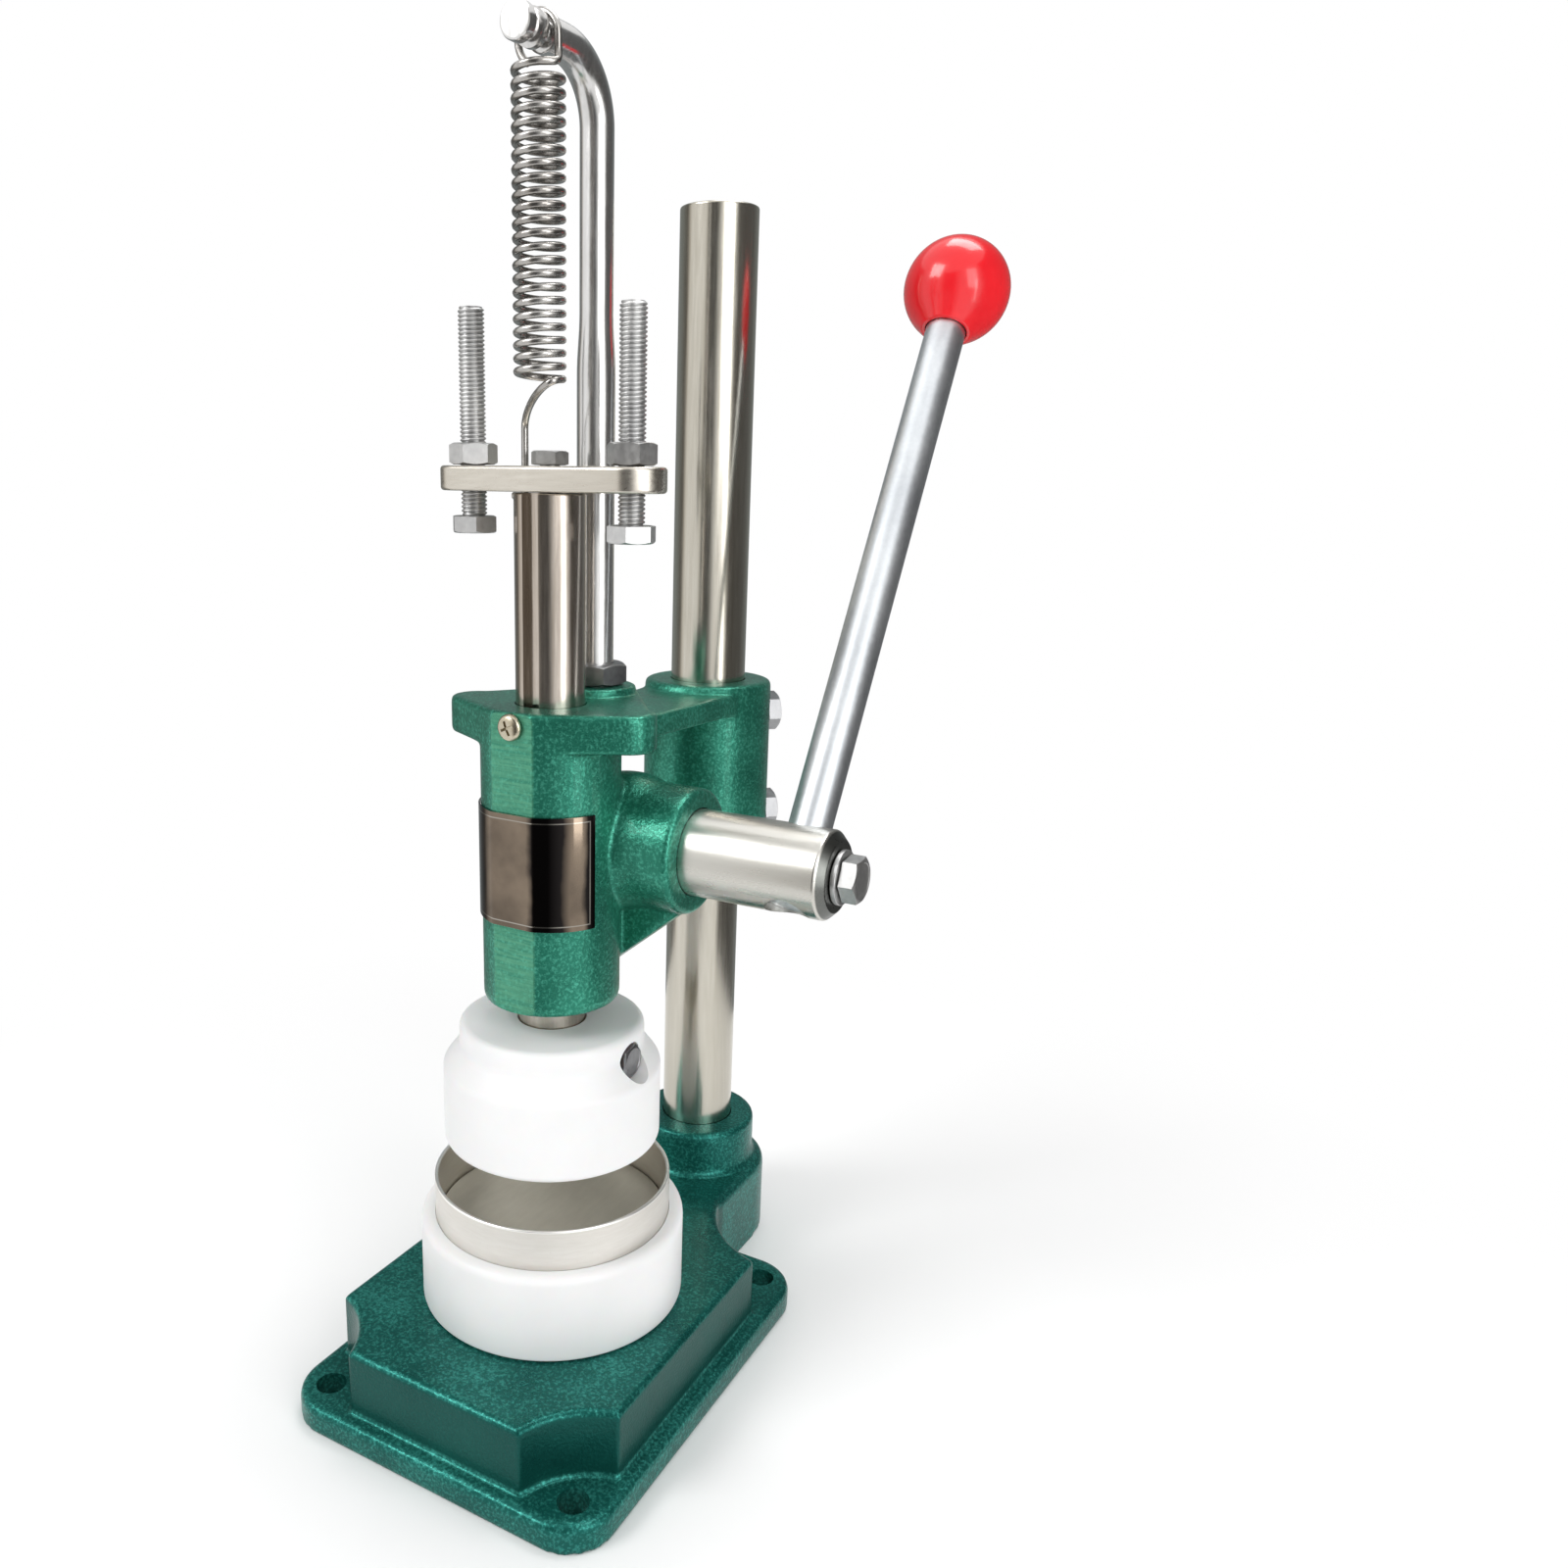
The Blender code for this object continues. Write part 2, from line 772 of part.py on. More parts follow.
def guide_screw():
    """A pan head screw whose tip runs in the ram's keyway and stops it turning."""
    head = guide_screw_head
    radius = guide_screw_head_radius
    facet = front_barrel_radius - front_facet_depth + running_gap
    tip = ram_radius - keyway_depth + running_gap
    shape = turned("guide_screw", [
        (guide_screw_radius - running_gap, tip - facet),
        (guide_screw_radius, tip - facet + running_gap),
        (guide_screw_radius, 0),
        (radius, 0),
        (radius, head / 2),
        (radius * guide_screw_crown_share, head * guide_screw_rise_share),
        (radius / 2, head),
    ], sides=small_sides)
    slot = radius / 10
    reach = radius * guide_screw_cross_share
    arms = []
    for long_side, short_side in ((reach, slot), (slot, reach)):
        arms.append(box("arm", (-long_side, -short_side, head / 3), (long_side, short_side, head + overrun)))
    cross = join(*arms)
    return along(cut(shape, cross), (0, ram_axis_y - facet, guide_screw_height), (0, -1, 0))


def name_plate():
    """A thin plate bent round the barrel and over its facet, between the barrel's foot and the screw."""
    inner = front_barrel_radius + running_gap
    outer = inner + name_plate_thickness
    steps = small_sides
    face = front_barrel_radius - front_facet_depth

    def wrapped(radius, cap):
        points = []
        for step in range(steps + 1):
            angle = name_plate_half_angle * (2 * step / steps - 1)
            depth = min(radius * math.cos(angle), cap)
            points.append((radius * math.sin(angle), ram_axis_y - depth))
        return points

    outline = wrapped(outer, face + outer - front_barrel_radius)
    outline += reversed(wrapped(inner, face + inner - front_barrel_radius))
    middle = head_bottom + (guide_screw_height - head_bottom) * name_plate_place_share
    half = name_plate_height / 2
    return prism("name_plate", outline, middle - half, middle + half)


# Rack and pinion

def involute(angle):
    return math.tan(angle) - angle


def pinion_outline():
    """One closed outline of the gear, involute above the base circle and radial below it."""
    base = pitch_radius * math.cos(pressure_angle)
    root = pinion_setback - rack_tip - pinion_root_clearance
    half_tooth = math.pi / 2 / pinion_teeth - tooth_backlash / 2 / pitch_radius
    flank = []
    for radius in (root, base, pitch_radius, shaft_radius):
        opened = math.acos(base / max(radius, base))
        flank.append((radius, half_tooth + involute(pressure_angle) - involute(opened)))
    outline = []
    for tooth in range(pinion_teeth):
        middle = 2 * math.pi * tooth / pinion_teeth + math.pi
        for radius, half in flank:
            outline.append((radius, middle - half))
        for radius, half in reversed(flank):
            outline.append((radius, middle + half))
    return [(radius * math.cos(angle), radius * math.sin(angle)) for radius, angle in outline]


def pinion_shaft():
    edge = cast_edge / 2
    half_gear = pinion_gear_width / 2
    left = pinion_barrel_left
    base = (0, pinion_axis_y, pinion_height)
    gear = loft("gear", [
        [Vector((x, pinion_axis_y + y, pinion_height + z)) for y, z in pinion_outline()]
        for x in (-half_gear - edge, half_gear + edge)
    ])
    bearing = along(rod("bearing", shaft_radius, left, -half_gear), base, (1, 0, 0))
    hub = along(turned("pinion_shaft", [
        (shaft_radius, half_gear),
        (shaft_radius, hub_end - hub_chamfer),
        (shaft_radius - hub_chamfer, hub_end),
    ]), base, (1, 0, 0))
    body = join(hub, gear, bearing)
    lever_hole = along(rod("hole", lever_radius + running_gap, -2 * shaft_radius, 2 * shaft_radius,
                           small_sides), lever_centre, lever_direction)
    bolt_hole = along(rod("hole", lever_bolt_radius + running_gap, lever_position, hub_end + overrun,
                          small_sides), base, (1, 0, 0))
    end_hole = along(rod("hole", end_screw_radius + running_gap, left - overrun,
                         left + end_screw_length, small_sides), base, (1, 0, 0))
    return cut(body, lever_hole, bolt_hole, end_hole)


def lever_rod():
    edge = lever_radius / 8
    low = -lever_foot_depth
    high = lever_length - knob_radius + knob_bore_depth - running_gap
    shape = turned("lever_rod", [
        (lever_radius - edge, low),
        (lever_radius, low + edge),
        (lever_radius, high - edge),
        (lever_radius - edge, high),
    ], sides=small_sides)
    return along(shape, lever_centre, lever_direction)


def lever_knob():
    """A ball that tapers to a small rim, bored for the end of the lever."""
    bore = lever_radius + running_gap
    start = knob_taper_angle
    taper = (knob_radius * math.sin(start) - knob_rim_radius) * math.tan(start)
    rim = -knob_radius * math.cos(start) - taper
    outer = [(knob_rim_radius, rim)]
    steps = small_sides // 2
    for step in range(steps):
        angle = start + (math.pi - start) * step / steps
        outer.append((knob_radius * math.sin(angle), -knob_radius * math.cos(angle)))
    ball = turned("lever_knob", outer + [(knob_radius / 20, knob_radius)], sides=2 * small_sides)
    hole = rod("hole", bore, rim - overrun, -knob_radius + knob_bore_depth, small_sides)
    return along(cut(ball, hole), lever_centre + lever_direction * lever_length, lever_direction)


def lever_set_bolt():
    seat = hub_end + 2 * running_gap + lever_washer_thickness
    reach = seat - lever_position - lever_radius - running_gap
    bolt = hex_bolt("lever_set_bolt", lever_bolt_flats, lever_bolt_head, lever_bolt_radius, reach)
    return along(bolt, (seat, pinion_axis_y, pinion_height), (1, 0, 0))


def lever_set_washer():
    shape = washer("lever_set_washer", lever_washer_radius, lever_bolt_radius + running_gap,
                   lever_washer_thickness)
    return along(shape, (hub_end + running_gap, pinion_axis_y, pinion_height), (1, 0, 0))


def pinion_end_washer():
    shape = washer("pinion_end_washer", end_washer_radius, end_screw_radius + running_gap,
                   end_washer_thickness)
    return along(shape, (pinion_barrel_left - running_gap, pinion_axis_y, pinion_height), (-1, 0, 0))


def pinion_end_screw():
    seat = pinion_barrel_left - 2 * running_gap - end_washer_thickness
    reach = end_screw_length + seat - pinion_barrel_left + end_washer_thickness
    bolt = hex_bolt("pinion_end_screw", lever_bolt_flats, lever_bolt_head, end_screw_radius, reach)
    return along(bolt, (seat, pinion_axis_y, pinion_height), (-1, 0, 0))


# Ram, stop plate and upper die

def rack_cutter():
    """The spaces between the rack teeth, as one comb behind the ram."""
    middle = pinion_height
    slope = math.tan(pressure_angle)
    outline = []
    back = ram_axis_y + ram_radius + overrun
    low_tooth = math.floor((rack_bottom - middle) / tooth_pitch)

    def half_space(depth):
        return tooth_pitch / 4 + tooth_backlash / 2 + (depth - rack_pitch_line) * slope

    start = middle + low_tooth * tooth_pitch - tooth_pitch / 2
    outline.append((back, start))
    outline.append((ram_axis_y + rack_tip, start))
    for tooth in range(rack_tooth_count):
        space = middle + (low_tooth + tooth) * tooth_pitch
        for side, depth in ((-1, rack_tip), (-1, rack_root), (1, rack_root), (1, rack_tip)):
            outline.append((ram_axis_y + depth, space + side * half_space(depth)))
    end = middle + (low_tooth + rack_tooth_count - 0.5) * tooth_pitch
    outline.append((ram_axis_y + rack_tip, end))
    outline.append((back, end))
    reach = ram_radius + overrun
    return loft("rack_spaces", [[Vector((x, y, z)) for y, z in outline] for x in (-reach, reach)])


def ram():
    edge = ram_edge
    shape = at(turned("ram", [
        (ram_radius - edge, ram_foot),
        (ram_radius, ram_foot + edge),
        (ram_radius, ram_top - edge),
        (ram_radius - edge, ram_top),
    ]), y=ram_axis_y)
    keyway_foot = guide_screw_height - guide_screw_radius - running_gap
    keyway = box("keyway",
                 (-keyway_width / 2, ram_axis_y - ram_radius - overrun, keyway_foot),
                 (keyway_width / 2, ram_axis_y - ram_radius + keyway_depth, ram_top + overrun))
    thread = rod("hole", plate_bolt_radius + running_gap, stop_plate_top - plate_bolt_length - overrun,
                 ram_top + overrun, small_sides)
    return cut(shape, rack_cutter(), keyway, at(thread, y=ram_axis_y))


def hook_place():
    return (hook_offset_x, ram_axis_y + hook_setback)


def stop_plate():
    circles = [
        (-half_stop_spacing, ram_axis_y, stop_plate_end_radius),
        (0, ram_axis_y, stop_plate_middle_radius),
        (half_stop_spacing, ram_axis_y, stop_plate_end_radius),
    ]
    full = hull(circles)
    eased = hull(circles, plate_edge)
    body = loft("stop_plate", [
        [Vector((x, y, stop_plate_bottom)) for x, y in eased],
        [Vector((x, y, stop_plate_bottom + plate_edge)) for x, y in full],
        [Vector((x, y, stop_plate_top - plate_edge)) for x, y in full],
        [Vector((x, y, stop_plate_top)) for x, y in eased],
    ])
    places = [
        (-half_stop_spacing, ram_axis_y, stop_bolt_radius),
        (half_stop_spacing, ram_axis_y, stop_bolt_radius),
        (0, ram_axis_y, plate_bolt_radius),
        (*hook_place(), hook_hole_radius - running_gap),
    ]
    tools = []
    for x, y, radius in places:
        hole = rod("hole", radius + running_gap, stop_plate_bottom - overrun, stop_plate_top + overrun,
                   small_sides)
        tools.append(at(hole, x, y))
    return cut(body, *tools)


def stop_plate_bolt():
    bolt = hex_bolt("stop_plate_bolt", plate_bolt_flats, plate_bolt_head, plate_bolt_radius,
                    plate_bolt_length)
    return at(bolt, y=ram_axis_y, z=stop_plate_top + running_gap)


def stop_bolt(name, side, drop):
    """A bolt set head down, so that its head lands on the ear."""
    bolt = hex_bolt(name, stop_bolt_flats, stop_bolt_head, stop_bolt_radius, stop_bolt_length)
    moved(bolt, Matrix.Rotation(math.pi, 4, "X"))
    return at(bolt, side * half_stop_spacing, ram_axis_y, stop_plate_bottom - drop)


def stop_nut(name, side):
    nut = hex_nut(name, stop_bolt_flats, stop_nut_height, stop_bolt_radius + running_gap)
    return at(nut, side * half_stop_spacing, ram_axis_y, stop_plate_top + running_gap)


def upper_die_bolt_seat():
    return upper_die_step_radius - upper_die_bolt_recess_depth


def upper_die():
    edge = upper_die_edge
    top_edge = upper_die_top_edge
    bottom = upper_die_bottom
    top = bottom + upper_die_height
    shoulder = bottom + upper_die_body_height
    shape = turned("upper_die", [
        (upper_die_radius - edge, bottom),
        (upper_die_radius - edge / 3, bottom + edge / 3),
        (upper_die_radius, bottom + edge),
        (upper_die_radius, shoulder),
        (upper_die_radius - edge / 2, shoulder + edge),
        (upper_die_step_radius + edge / 3, shoulder + upper_die_shoulder - edge / 2),
        (upper_die_step_radius, shoulder + upper_die_shoulder),
        (upper_die_step_radius, top - top_edge),
        (upper_die_step_radius - top_edge * (1 - math.cos(math.pi / 4)),
         top - top_edge * (1 - math.sin(math.pi / 4))),
        (upper_die_step_radius - top_edge, top),
    ], sides=2 * small_sides)
    bore = rod("bore", ram_radius + running_gap, ram_foot - running_gap, top + overrun)
    axis = (0, 0, upper_die_bolt_height)
    thread = along(rod("hole", upper_die_bolt_radius + running_gap, 0, upper_die_radius, small_sides),
                   axis, (1, 0, 0))
    recess = along(rod("recess", upper_die_bolt_recess_radius, upper_die_bolt_seat(),
                       upper_die_radius + overrun, small_sides), axis, (1, 0, 0))
    return at(cut(shape, bore, thread, recess), y=ram_axis_y)


def upper_die_set_bolt():
    seat = upper_die_bolt_seat() + running_gap
    reach = seat - ram_radius - running_gap
    bolt = hex_bolt("upper_die_set_bolt", upper_die_bolt_flats, upper_die_bolt_head,
                    upper_die_bolt_radius, reach)
    return along(bolt, (seat, ram_axis_y, upper_die_bolt_height), (1, 0, 0))


# Spring and its rod

def tube(name, points, radius, thickness=None, resolution=1):
    """A round wire or bar swept along points, each with its own thickness share."""
    path = bpy.data.curves.new(name, "CURVE")
    path.dimensions = "3D"
    path.bevel_depth = radius
    path.bevel_resolution = resolution
    path.use_fill_caps = True
    line = path.splines.new("POLY")
    line.points.add(len(points) - 1)
    for index, point in enumerate(points):
        line.points[index].co = (*point, 1)
        line.points[index].radius = thickness[index] if thickness else 1
    item = bpy.data.objects.new(name, path)
    bpy.context.scene.collection.objects.link(item)
    return item


def as_mesh(item):
    """Replace a curve object by its mesh, with outward faces."""
    bpy.context.view_layer.update()
    graph = bpy.context.evaluated_depsgraph_get()
    name = item.name
    work = bmesh.new()
    work.from_mesh(item.evaluated_get(graph).to_mesh())
    bmesh.ops.remove_doubles(work, verts=work.verts, dist=running_gap / 100)
    bpy.data.objects.remove(item, do_unlink=True)
    solid = mesh_object(name, work)
    solid.name = name
    return solid


def rod_stations():
    """Points along the rod's axis, each with the bar's radius there."""
    bend_y = rod_axis_y - rod_bend_radius
    bend_z = rod_arm_height - rod_bend_radius
    taper = head_top + (bend_z - head_top) * rod_taper_place_share
    stations = [
        (Vector((0, rod_axis_y, head_top - rod_thread_depth)), rod_radius),
        (Vector((0, rod_axis_y, taper)), rod_radius),
        (Vector((0, rod_axis_y, taper + rod_taper_length)), rod_upper_radius),
    ]
    for y, z in arc_points((bend_y, bend_z), rod_bend_radius, 0, math.pi / 2, rod_bend_steps):
        stations.append((Vector((0, y, z)), rod_upper_radius))
    reach = rod_axis_y - rod_reach
    front = reach + rod_end_width
    collar = front + rod_groove_width
    places = [collar + rod_collar_width + rod_groove_width, collar + rod_collar_width, collar, front]
    radii = [rod_upper_radius, rod_groove_radius, rod_upper_radius, rod_groove_radius, rod_upper_radius]
    for place, before, after in zip(places, radii, radii[1:]):
        stations.append((Vector((0, place + rod_groove_step, rod_arm_height)), before))
        stations.append((Vector((0, place, rod_arm_height)), after))
    stations.append((Vector((0, reach + rod_groove_step, rod_arm_height)), rod_upper_radius))
    stations.append((Vector((0, reach, rod_arm_height)), rod_upper_radius - rod_groove_step))
    return stations


def spring_rod():
    stations = rod_stations()
    points = [point for point, radius in stations]
    shares = [radius / rod_radius for point, radius in stations]
    return as_mesh(tube("spring_rod", points, rod_radius, shares, resolution=6))


def spring_rod_nut():
    nut = hex_nut("spring_rod_nut", rod_nut_flats, rod_nut_height, rod_radius + running_gap)
    return at(nut, y=rod_axis_y, z=rod_seat_top + running_gap)


def loop_points():
    """The upper loop, which hangs in the rod's groove, from its free end over the top to the right."""
    points = []
    for x, z in arc_points((0, loop_centre_height), spring_coil_radius, spring_loop_start, 0,
                           spring_loop_points):
        points.append(Vector((x, 0, z)))
    return points


def coil_place(step):
    """A point of the coils, which wind down from the right, towards the front first."""
    turns = step / spring_points_per_coil
    angle = -2 * math.pi * turns
    height = spring_bottom + (spring_coils - turns) * spring_pitch
    return Vector((spring_coil_radius * math.cos(angle), spring_coil_radius * math.sin(angle), height))


def leg(start, start_pull, end, end_pull):
    """A bent stretch of wire between two points, without its ends."""
    handles = (start, start + start_pull, end + end_pull, end)
    return list(interpolate_bezier(*handles, spring_points_per_coil))[1:-1]


def hook_points(start, pull):
    """The lower leg, swept across to the hook hole, down through it and out under the plate."""
    hook_x, hook_y = hook_place()
    y = hook_y - spring_axis_y
    down = Vector((hook_x, y, stop_plate_top + hook_drop))
    points = leg(start, pull, down, Vector((0, 0, spring_coil_radius)))
    toe_height = stop_plate_bottom - running_gap - spring_wire_radius
    points += [down, Vector((hook_x, y, stop_plate_bottom))]
    for x, z in arc_points((hook_x - hook_bend, toe_height + hook_bend), hook_bend, 0, -math.pi / 2, 4):
        points.append(Vector((x, y, z)))
    points.append(Vector((hook_x - hook_toe, y, toe_height)))
    return points


def spring_path():
    loop = loop_points()
    last = spring_coils * spring_points_per_coil + 2
    coils = [coil_place(step) for step in range(1, last)]
    drop = Vector((0, 0, coils[0].z - loop[-1].z))
    join_leg = leg(loop[-1], drop, coils[0], coil_place(0) - coils[0])
    end_pull = (coils[-1] - coils[-2]) * 2
    path = loop + join_leg + coils + hook_points(coils[-1], end_pull)
    return [point + Vector((0, spring_axis_y, 0)) for point in path]


def least_gap(points, radius, apart=6):
    """The least clear distance between stretches of the wire that aren't neighbours."""
    least = math.inf
    for first, point in enumerate(points):
        for other in points[first + apart:]:
            least = min(least, (point - other).length)
    return least - 2 * radius


def return_spring():
    points = spring_path()
    print("least gap of the spring to itself:", round(least_gap(points, spring_wire_radius) * 1000, 2), "mm")
    return tube("return_spring", points, spring_wire_radius)


# Finishes

green_paint = ((0.010, 0.130, 0.075), 0.35, 0.0)
polished_steel = ((0.62, 0.60, 0.56), 0.16, 1.0)
brushed_steel = ((0.60, 0.58, 0.54), 0.30, 1.0)
zinc_plate = ((0.56, 0.57, 0.56), 0.35, 1.0)
brass_plate = ((0.62, 0.55, 0.38), 0.30, 1.0)
satin_grey = ((0.52, 0.55, 0.60), 0.38, 0.9)
white_nylon = ((0.86, 0.87, 0.88), 0.45, 0.0)
red_plastic = ((0.72, 0.010, 0.016), 0.15, 0.0)
black_plate = ((0.010, 0.009, 0.009), 0.18, 0.0)


def finish(item, look):
    colour, roughness, metallic = look
    material = bpy.data.materials.new(item.name)
    material.use_nodes = True
    shader = material.node_tree.nodes["Principled BSDF"]
    shader.inputs["Base Color"].default_value = (*colour, 1)
    shader.inputs["Roughness"].default_value = roughness
    shader.inputs["Metallic"].default_value = metallic
    item.data.materials.clear()
    item.data.materials.append(material)
    if item.type == "MESH":
        item.data.shade_smooth()
        item.data.set_sharp_from_angle(angle=math.radians(35))


# Assembly

def joint_axis(name, place):
    """An empty on a joint's axis, which carries the body that moves there."""
    marker = bpy.data.objects.new(name, None)
    marker.location = place
    bpy.context.scene.collection.objects.link(marker)
    return marker


def assemble(pieces, carrier=None):
    """Finish pieces and hang them on the empty of the body that they move with."""
    bpy.context.view_layer.update()
    for item, look in pieces:
        finish(item, look)
        if carrier:
            item.parent = carrier
            item.matrix_parent_inverse = carrier.matrix_world.inverted()


def build_stand():
    assemble([
        (base_casting(), green_paint),
        (column(), polished_steel),
        (column_set_screw(), zinc_plate),
        (lower_die(), white_nylon),
        (forming_plate(), brushed_steel),
        (lower_die_screw(), zinc_plate),
    ])


def build_tart_ring():
    assemble([(tart_ring(), brushed_steel)], joint_axis("ring_axis", (0, ram_axis_y, tart_ring_bottom)))


def build_head():
    head = joint_axis("head_axis", (0, column_axis_y, rear_barrel_bottom))
    assemble([
        (head_casting(), green_paint),
        (head_set_bolt("head_set_bolt_upper", clamp_bolt_upper_height), zinc_plate),
        (head_set_bolt("head_set_bolt_lower", clamp_bolt_lower_height), zinc_plate),
        (guide_screw(), brass_plate),
        (name_plate(), black_plate),
        (spring_rod(), polished_steel),
        (spring_rod_nut(), zinc_plate),
    ], head)
    return head


def build_lever(head):
    axis = joint_axis("lever_axis", (0, pinion_axis_y, pinion_height))
    assemble([
        (pinion_shaft(), polished_steel),
        (lever_rod(), satin_grey),
        (lever_knob(), red_plastic),
        (lever_set_bolt(), zinc_plate),
        (lever_set_washer(), zinc_plate),
        (pinion_end_washer(), zinc_plate),
        (pinion_end_screw(), zinc_plate),
    ], axis)
    axis.parent = head
    axis.matrix_parent_inverse = head.matrix_world.inverted()


def build_ram(head):
    axis = joint_axis("ram_axis", (0, ram_axis_y, ram_foot))
    assemble([
        (ram(), polished_steel),
        (stop_plate(), brushed_steel),
        (stop_plate_bolt(), zinc_plate),
        (stop_bolt("stop_bolt_left", -1, stop_bolt_drop_left), zinc_plate),
        (stop_bolt("stop_bolt_right", 1, stop_bolt_drop_right), zinc_plate),
        (stop_nut("stop_nut_left", -1), zinc_plate),
        (stop_nut("stop_nut_right", 1), zinc_plate),
        (upper_die(), white_nylon),
        (upper_die_set_bolt(), zinc_plate),
        (return_spring(), polished_steel),
    ], axis)
    axis.parent = head
    axis.matrix_parent_inverse = head.matrix_world.inverted()


build_stand()
build_tart_ring()
head_carrier = build_head()
build_lever(head_carrier)
build_ram(head_carrier)
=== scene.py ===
"""Looks of a hand press for tartlet shells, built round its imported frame.

Shapes are drawn in millimetres, in the frame's own axes: X to the lever side, Y to the column, Z up.
"""

import json
import math

import bmesh
import bpy
from mathutils import Matrix, Vector
from mathutils.geometry import convex_hull_2d, interpolate_bezier


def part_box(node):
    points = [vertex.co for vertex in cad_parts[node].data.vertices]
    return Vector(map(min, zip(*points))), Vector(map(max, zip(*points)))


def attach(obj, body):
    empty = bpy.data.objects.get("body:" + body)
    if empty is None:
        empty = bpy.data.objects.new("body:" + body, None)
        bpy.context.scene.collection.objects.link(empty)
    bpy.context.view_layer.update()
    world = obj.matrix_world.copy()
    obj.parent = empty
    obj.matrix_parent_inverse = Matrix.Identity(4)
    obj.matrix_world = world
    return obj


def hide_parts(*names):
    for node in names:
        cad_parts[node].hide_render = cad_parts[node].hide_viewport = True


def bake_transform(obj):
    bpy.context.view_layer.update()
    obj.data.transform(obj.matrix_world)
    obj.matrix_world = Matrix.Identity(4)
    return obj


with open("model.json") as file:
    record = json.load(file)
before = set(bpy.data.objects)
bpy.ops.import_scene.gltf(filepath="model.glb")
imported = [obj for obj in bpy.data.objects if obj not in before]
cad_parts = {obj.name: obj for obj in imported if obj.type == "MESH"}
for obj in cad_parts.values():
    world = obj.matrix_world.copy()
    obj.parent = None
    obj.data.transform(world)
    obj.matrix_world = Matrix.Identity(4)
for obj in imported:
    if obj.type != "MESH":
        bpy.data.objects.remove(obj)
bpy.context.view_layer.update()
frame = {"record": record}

METRES = 0.001
TURN = 2 * math.pi


# Places taken from the frame

class Extent:
    """A node's box in millimetres."""

    def __init__(self, node):
        low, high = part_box(node)
        self.low = Vector(low) / METRES
        self.high = Vector(high) / METRES
        self.size = self.high - self.low
        self.middle = (self.low + self.high) / 2


def joint(name):
    return next(entry for entry in frame["record"]["behaviour"]["joints"] if entry["name"] == name)


base_box = Extent("base_casting")
column_box = Extent("column")
lower_die_box = Extent("lower_die")
forming_plate_box = Extent("forming_plate")
die_screw_box = Extent("lower_die_screw")
tart_ring_box = Extent("tart_ring")
head_box = Extent("head_casting")
rod_box = Extent("spring_rod")
rod_nut_box = Extent("spring_rod_nut")
guide_box = Extent("guide_screw")
name_plate_box = Extent("name_plate")
shaft_box = Extent("pinion_shaft")
knob_box = Extent("lever_knob")
lever_box = Extent("lever_rod")
ram_box = Extent("ram")
stop_plate_box = Extent("stop_plate")
upper_die_box = Extent("upper_die")

ram_y = ram_box.middle.y
base_depth = 153.0
flange_top = 9.5
plinth_inset = 5.2
plinth_back = base_depth / 2 - plinth_inset
barrel_radius = 22.3
facet_depth = 1.2
facet_y = ram_y - barrel_radius + facet_depth
column_y = column_box.middle.y
rod_y = rod_nut_box.middle.y
pinion_y, pinion_z = (value / METRES for value in joint("lever_turn")["pos_m"][1:])
name_plate_half_angle = math.radians(70)
gap = 0.3


# Shapes as points and faces

class Form:
    """A closed shape: points in millimetres and faces that look outwards."""

    def __init__(self, points, faces):
        self.points = [Vector(point) for point in points]
        self.faces = faces

    def __add__(self, other):
        """Both shapes as one, side by side."""
        shift = len(self.points)
        return Form(self.points + other.points,
                    self.faces + [[index + shift for index in face] for face in other.faces])

    def placed(self, matrix):
        return Form([matrix @ point for point in self.points], self.faces)

    def at(self, x=0.0, y=0.0, z=0.0):
        return self.placed(Matrix.Translation((x, y, z)))

    def along(self, origin, direction, spin=0.0):
        """Stand a form made along Z on an origin, pointing in a direction."""
        turn = Vector(direction).to_track_quat("Z", "Y").to_matrix().to_4x4()
        return self.placed(Matrix.Translation(origin) @ turn @ Matrix.Rotation(spin, 4, "Z"))


def loft(rings, hollow=False):
    """Join rings of equally many points; a hollow loft closes on its first ring."""
    count = len(rings[0])
    points = [point for ring in rings for point in ring]
    faces = []
    bands = len(rings) if hollow else len(rings) - 1
    for band in range(bands):
        low = band * count
        high = (band + 1) % len(rings) * count
        for index in range(count):
            after = (index + 1) % count
            faces.append([low + index, low + after, high + after, high + index])
    if not hollow:
        faces.append(list(range(count))[::-1])
        faces.append([(len(rings) - 1) * count + index for index in range(count)])
    return Form(points, faces)


def circle(radius, height=0.0, sides=96, centre=(0.0, 0.0)):
    points = arc(centre, radius, 0.0, TURN, sides)[:-1]
    return [Vector((x, y, height)) for x, y in points]


def softened(corners, steps=4):
    """A profile of (radius, height, ease) corners, each rounded by its ease."""
    points = []
    for index, (x, y, ease) in enumerate(corners):
        here = Vector((x, y))
        if not ease or index in (0, len(corners) - 1):
            points.append(here)
            continue
        before = (Vector(corners[index - 1][:2]) - here).normalized() * ease
        after = (Vector(corners[index + 1][:2]) - here).normalized() * ease
        for step in range(steps + 1):
            share = step / steps
            points.append((here + before * (1 - share)).lerp(here + after * share, share))
    return [(point.x, point.y) for point in points]


def turned(profile, sides=128, hollow=False):
    """A profile of (radius, height) points turned round Z."""
    return loft([circle(radius, height, sides) for radius, height in profile], hollow)


def lathe(corners, sides=128, steps=4):
    """A solid turned round Z from corners with their eases."""
    return turned(softened(corners, steps), sides)


def drill(radius, low, high, sides=64):
    """A plain round tool or shank along Z."""
    return turned([(radius, low), (radius, high)], sides)


def arc(centre, radius, start, end, steps):
    return [(centre[0] + radius * math.cos(start + (end - start) * step / steps),
             centre[1] + radius * math.sin(start + (end - start) * step / steps))
            for step in range(steps + 1)]


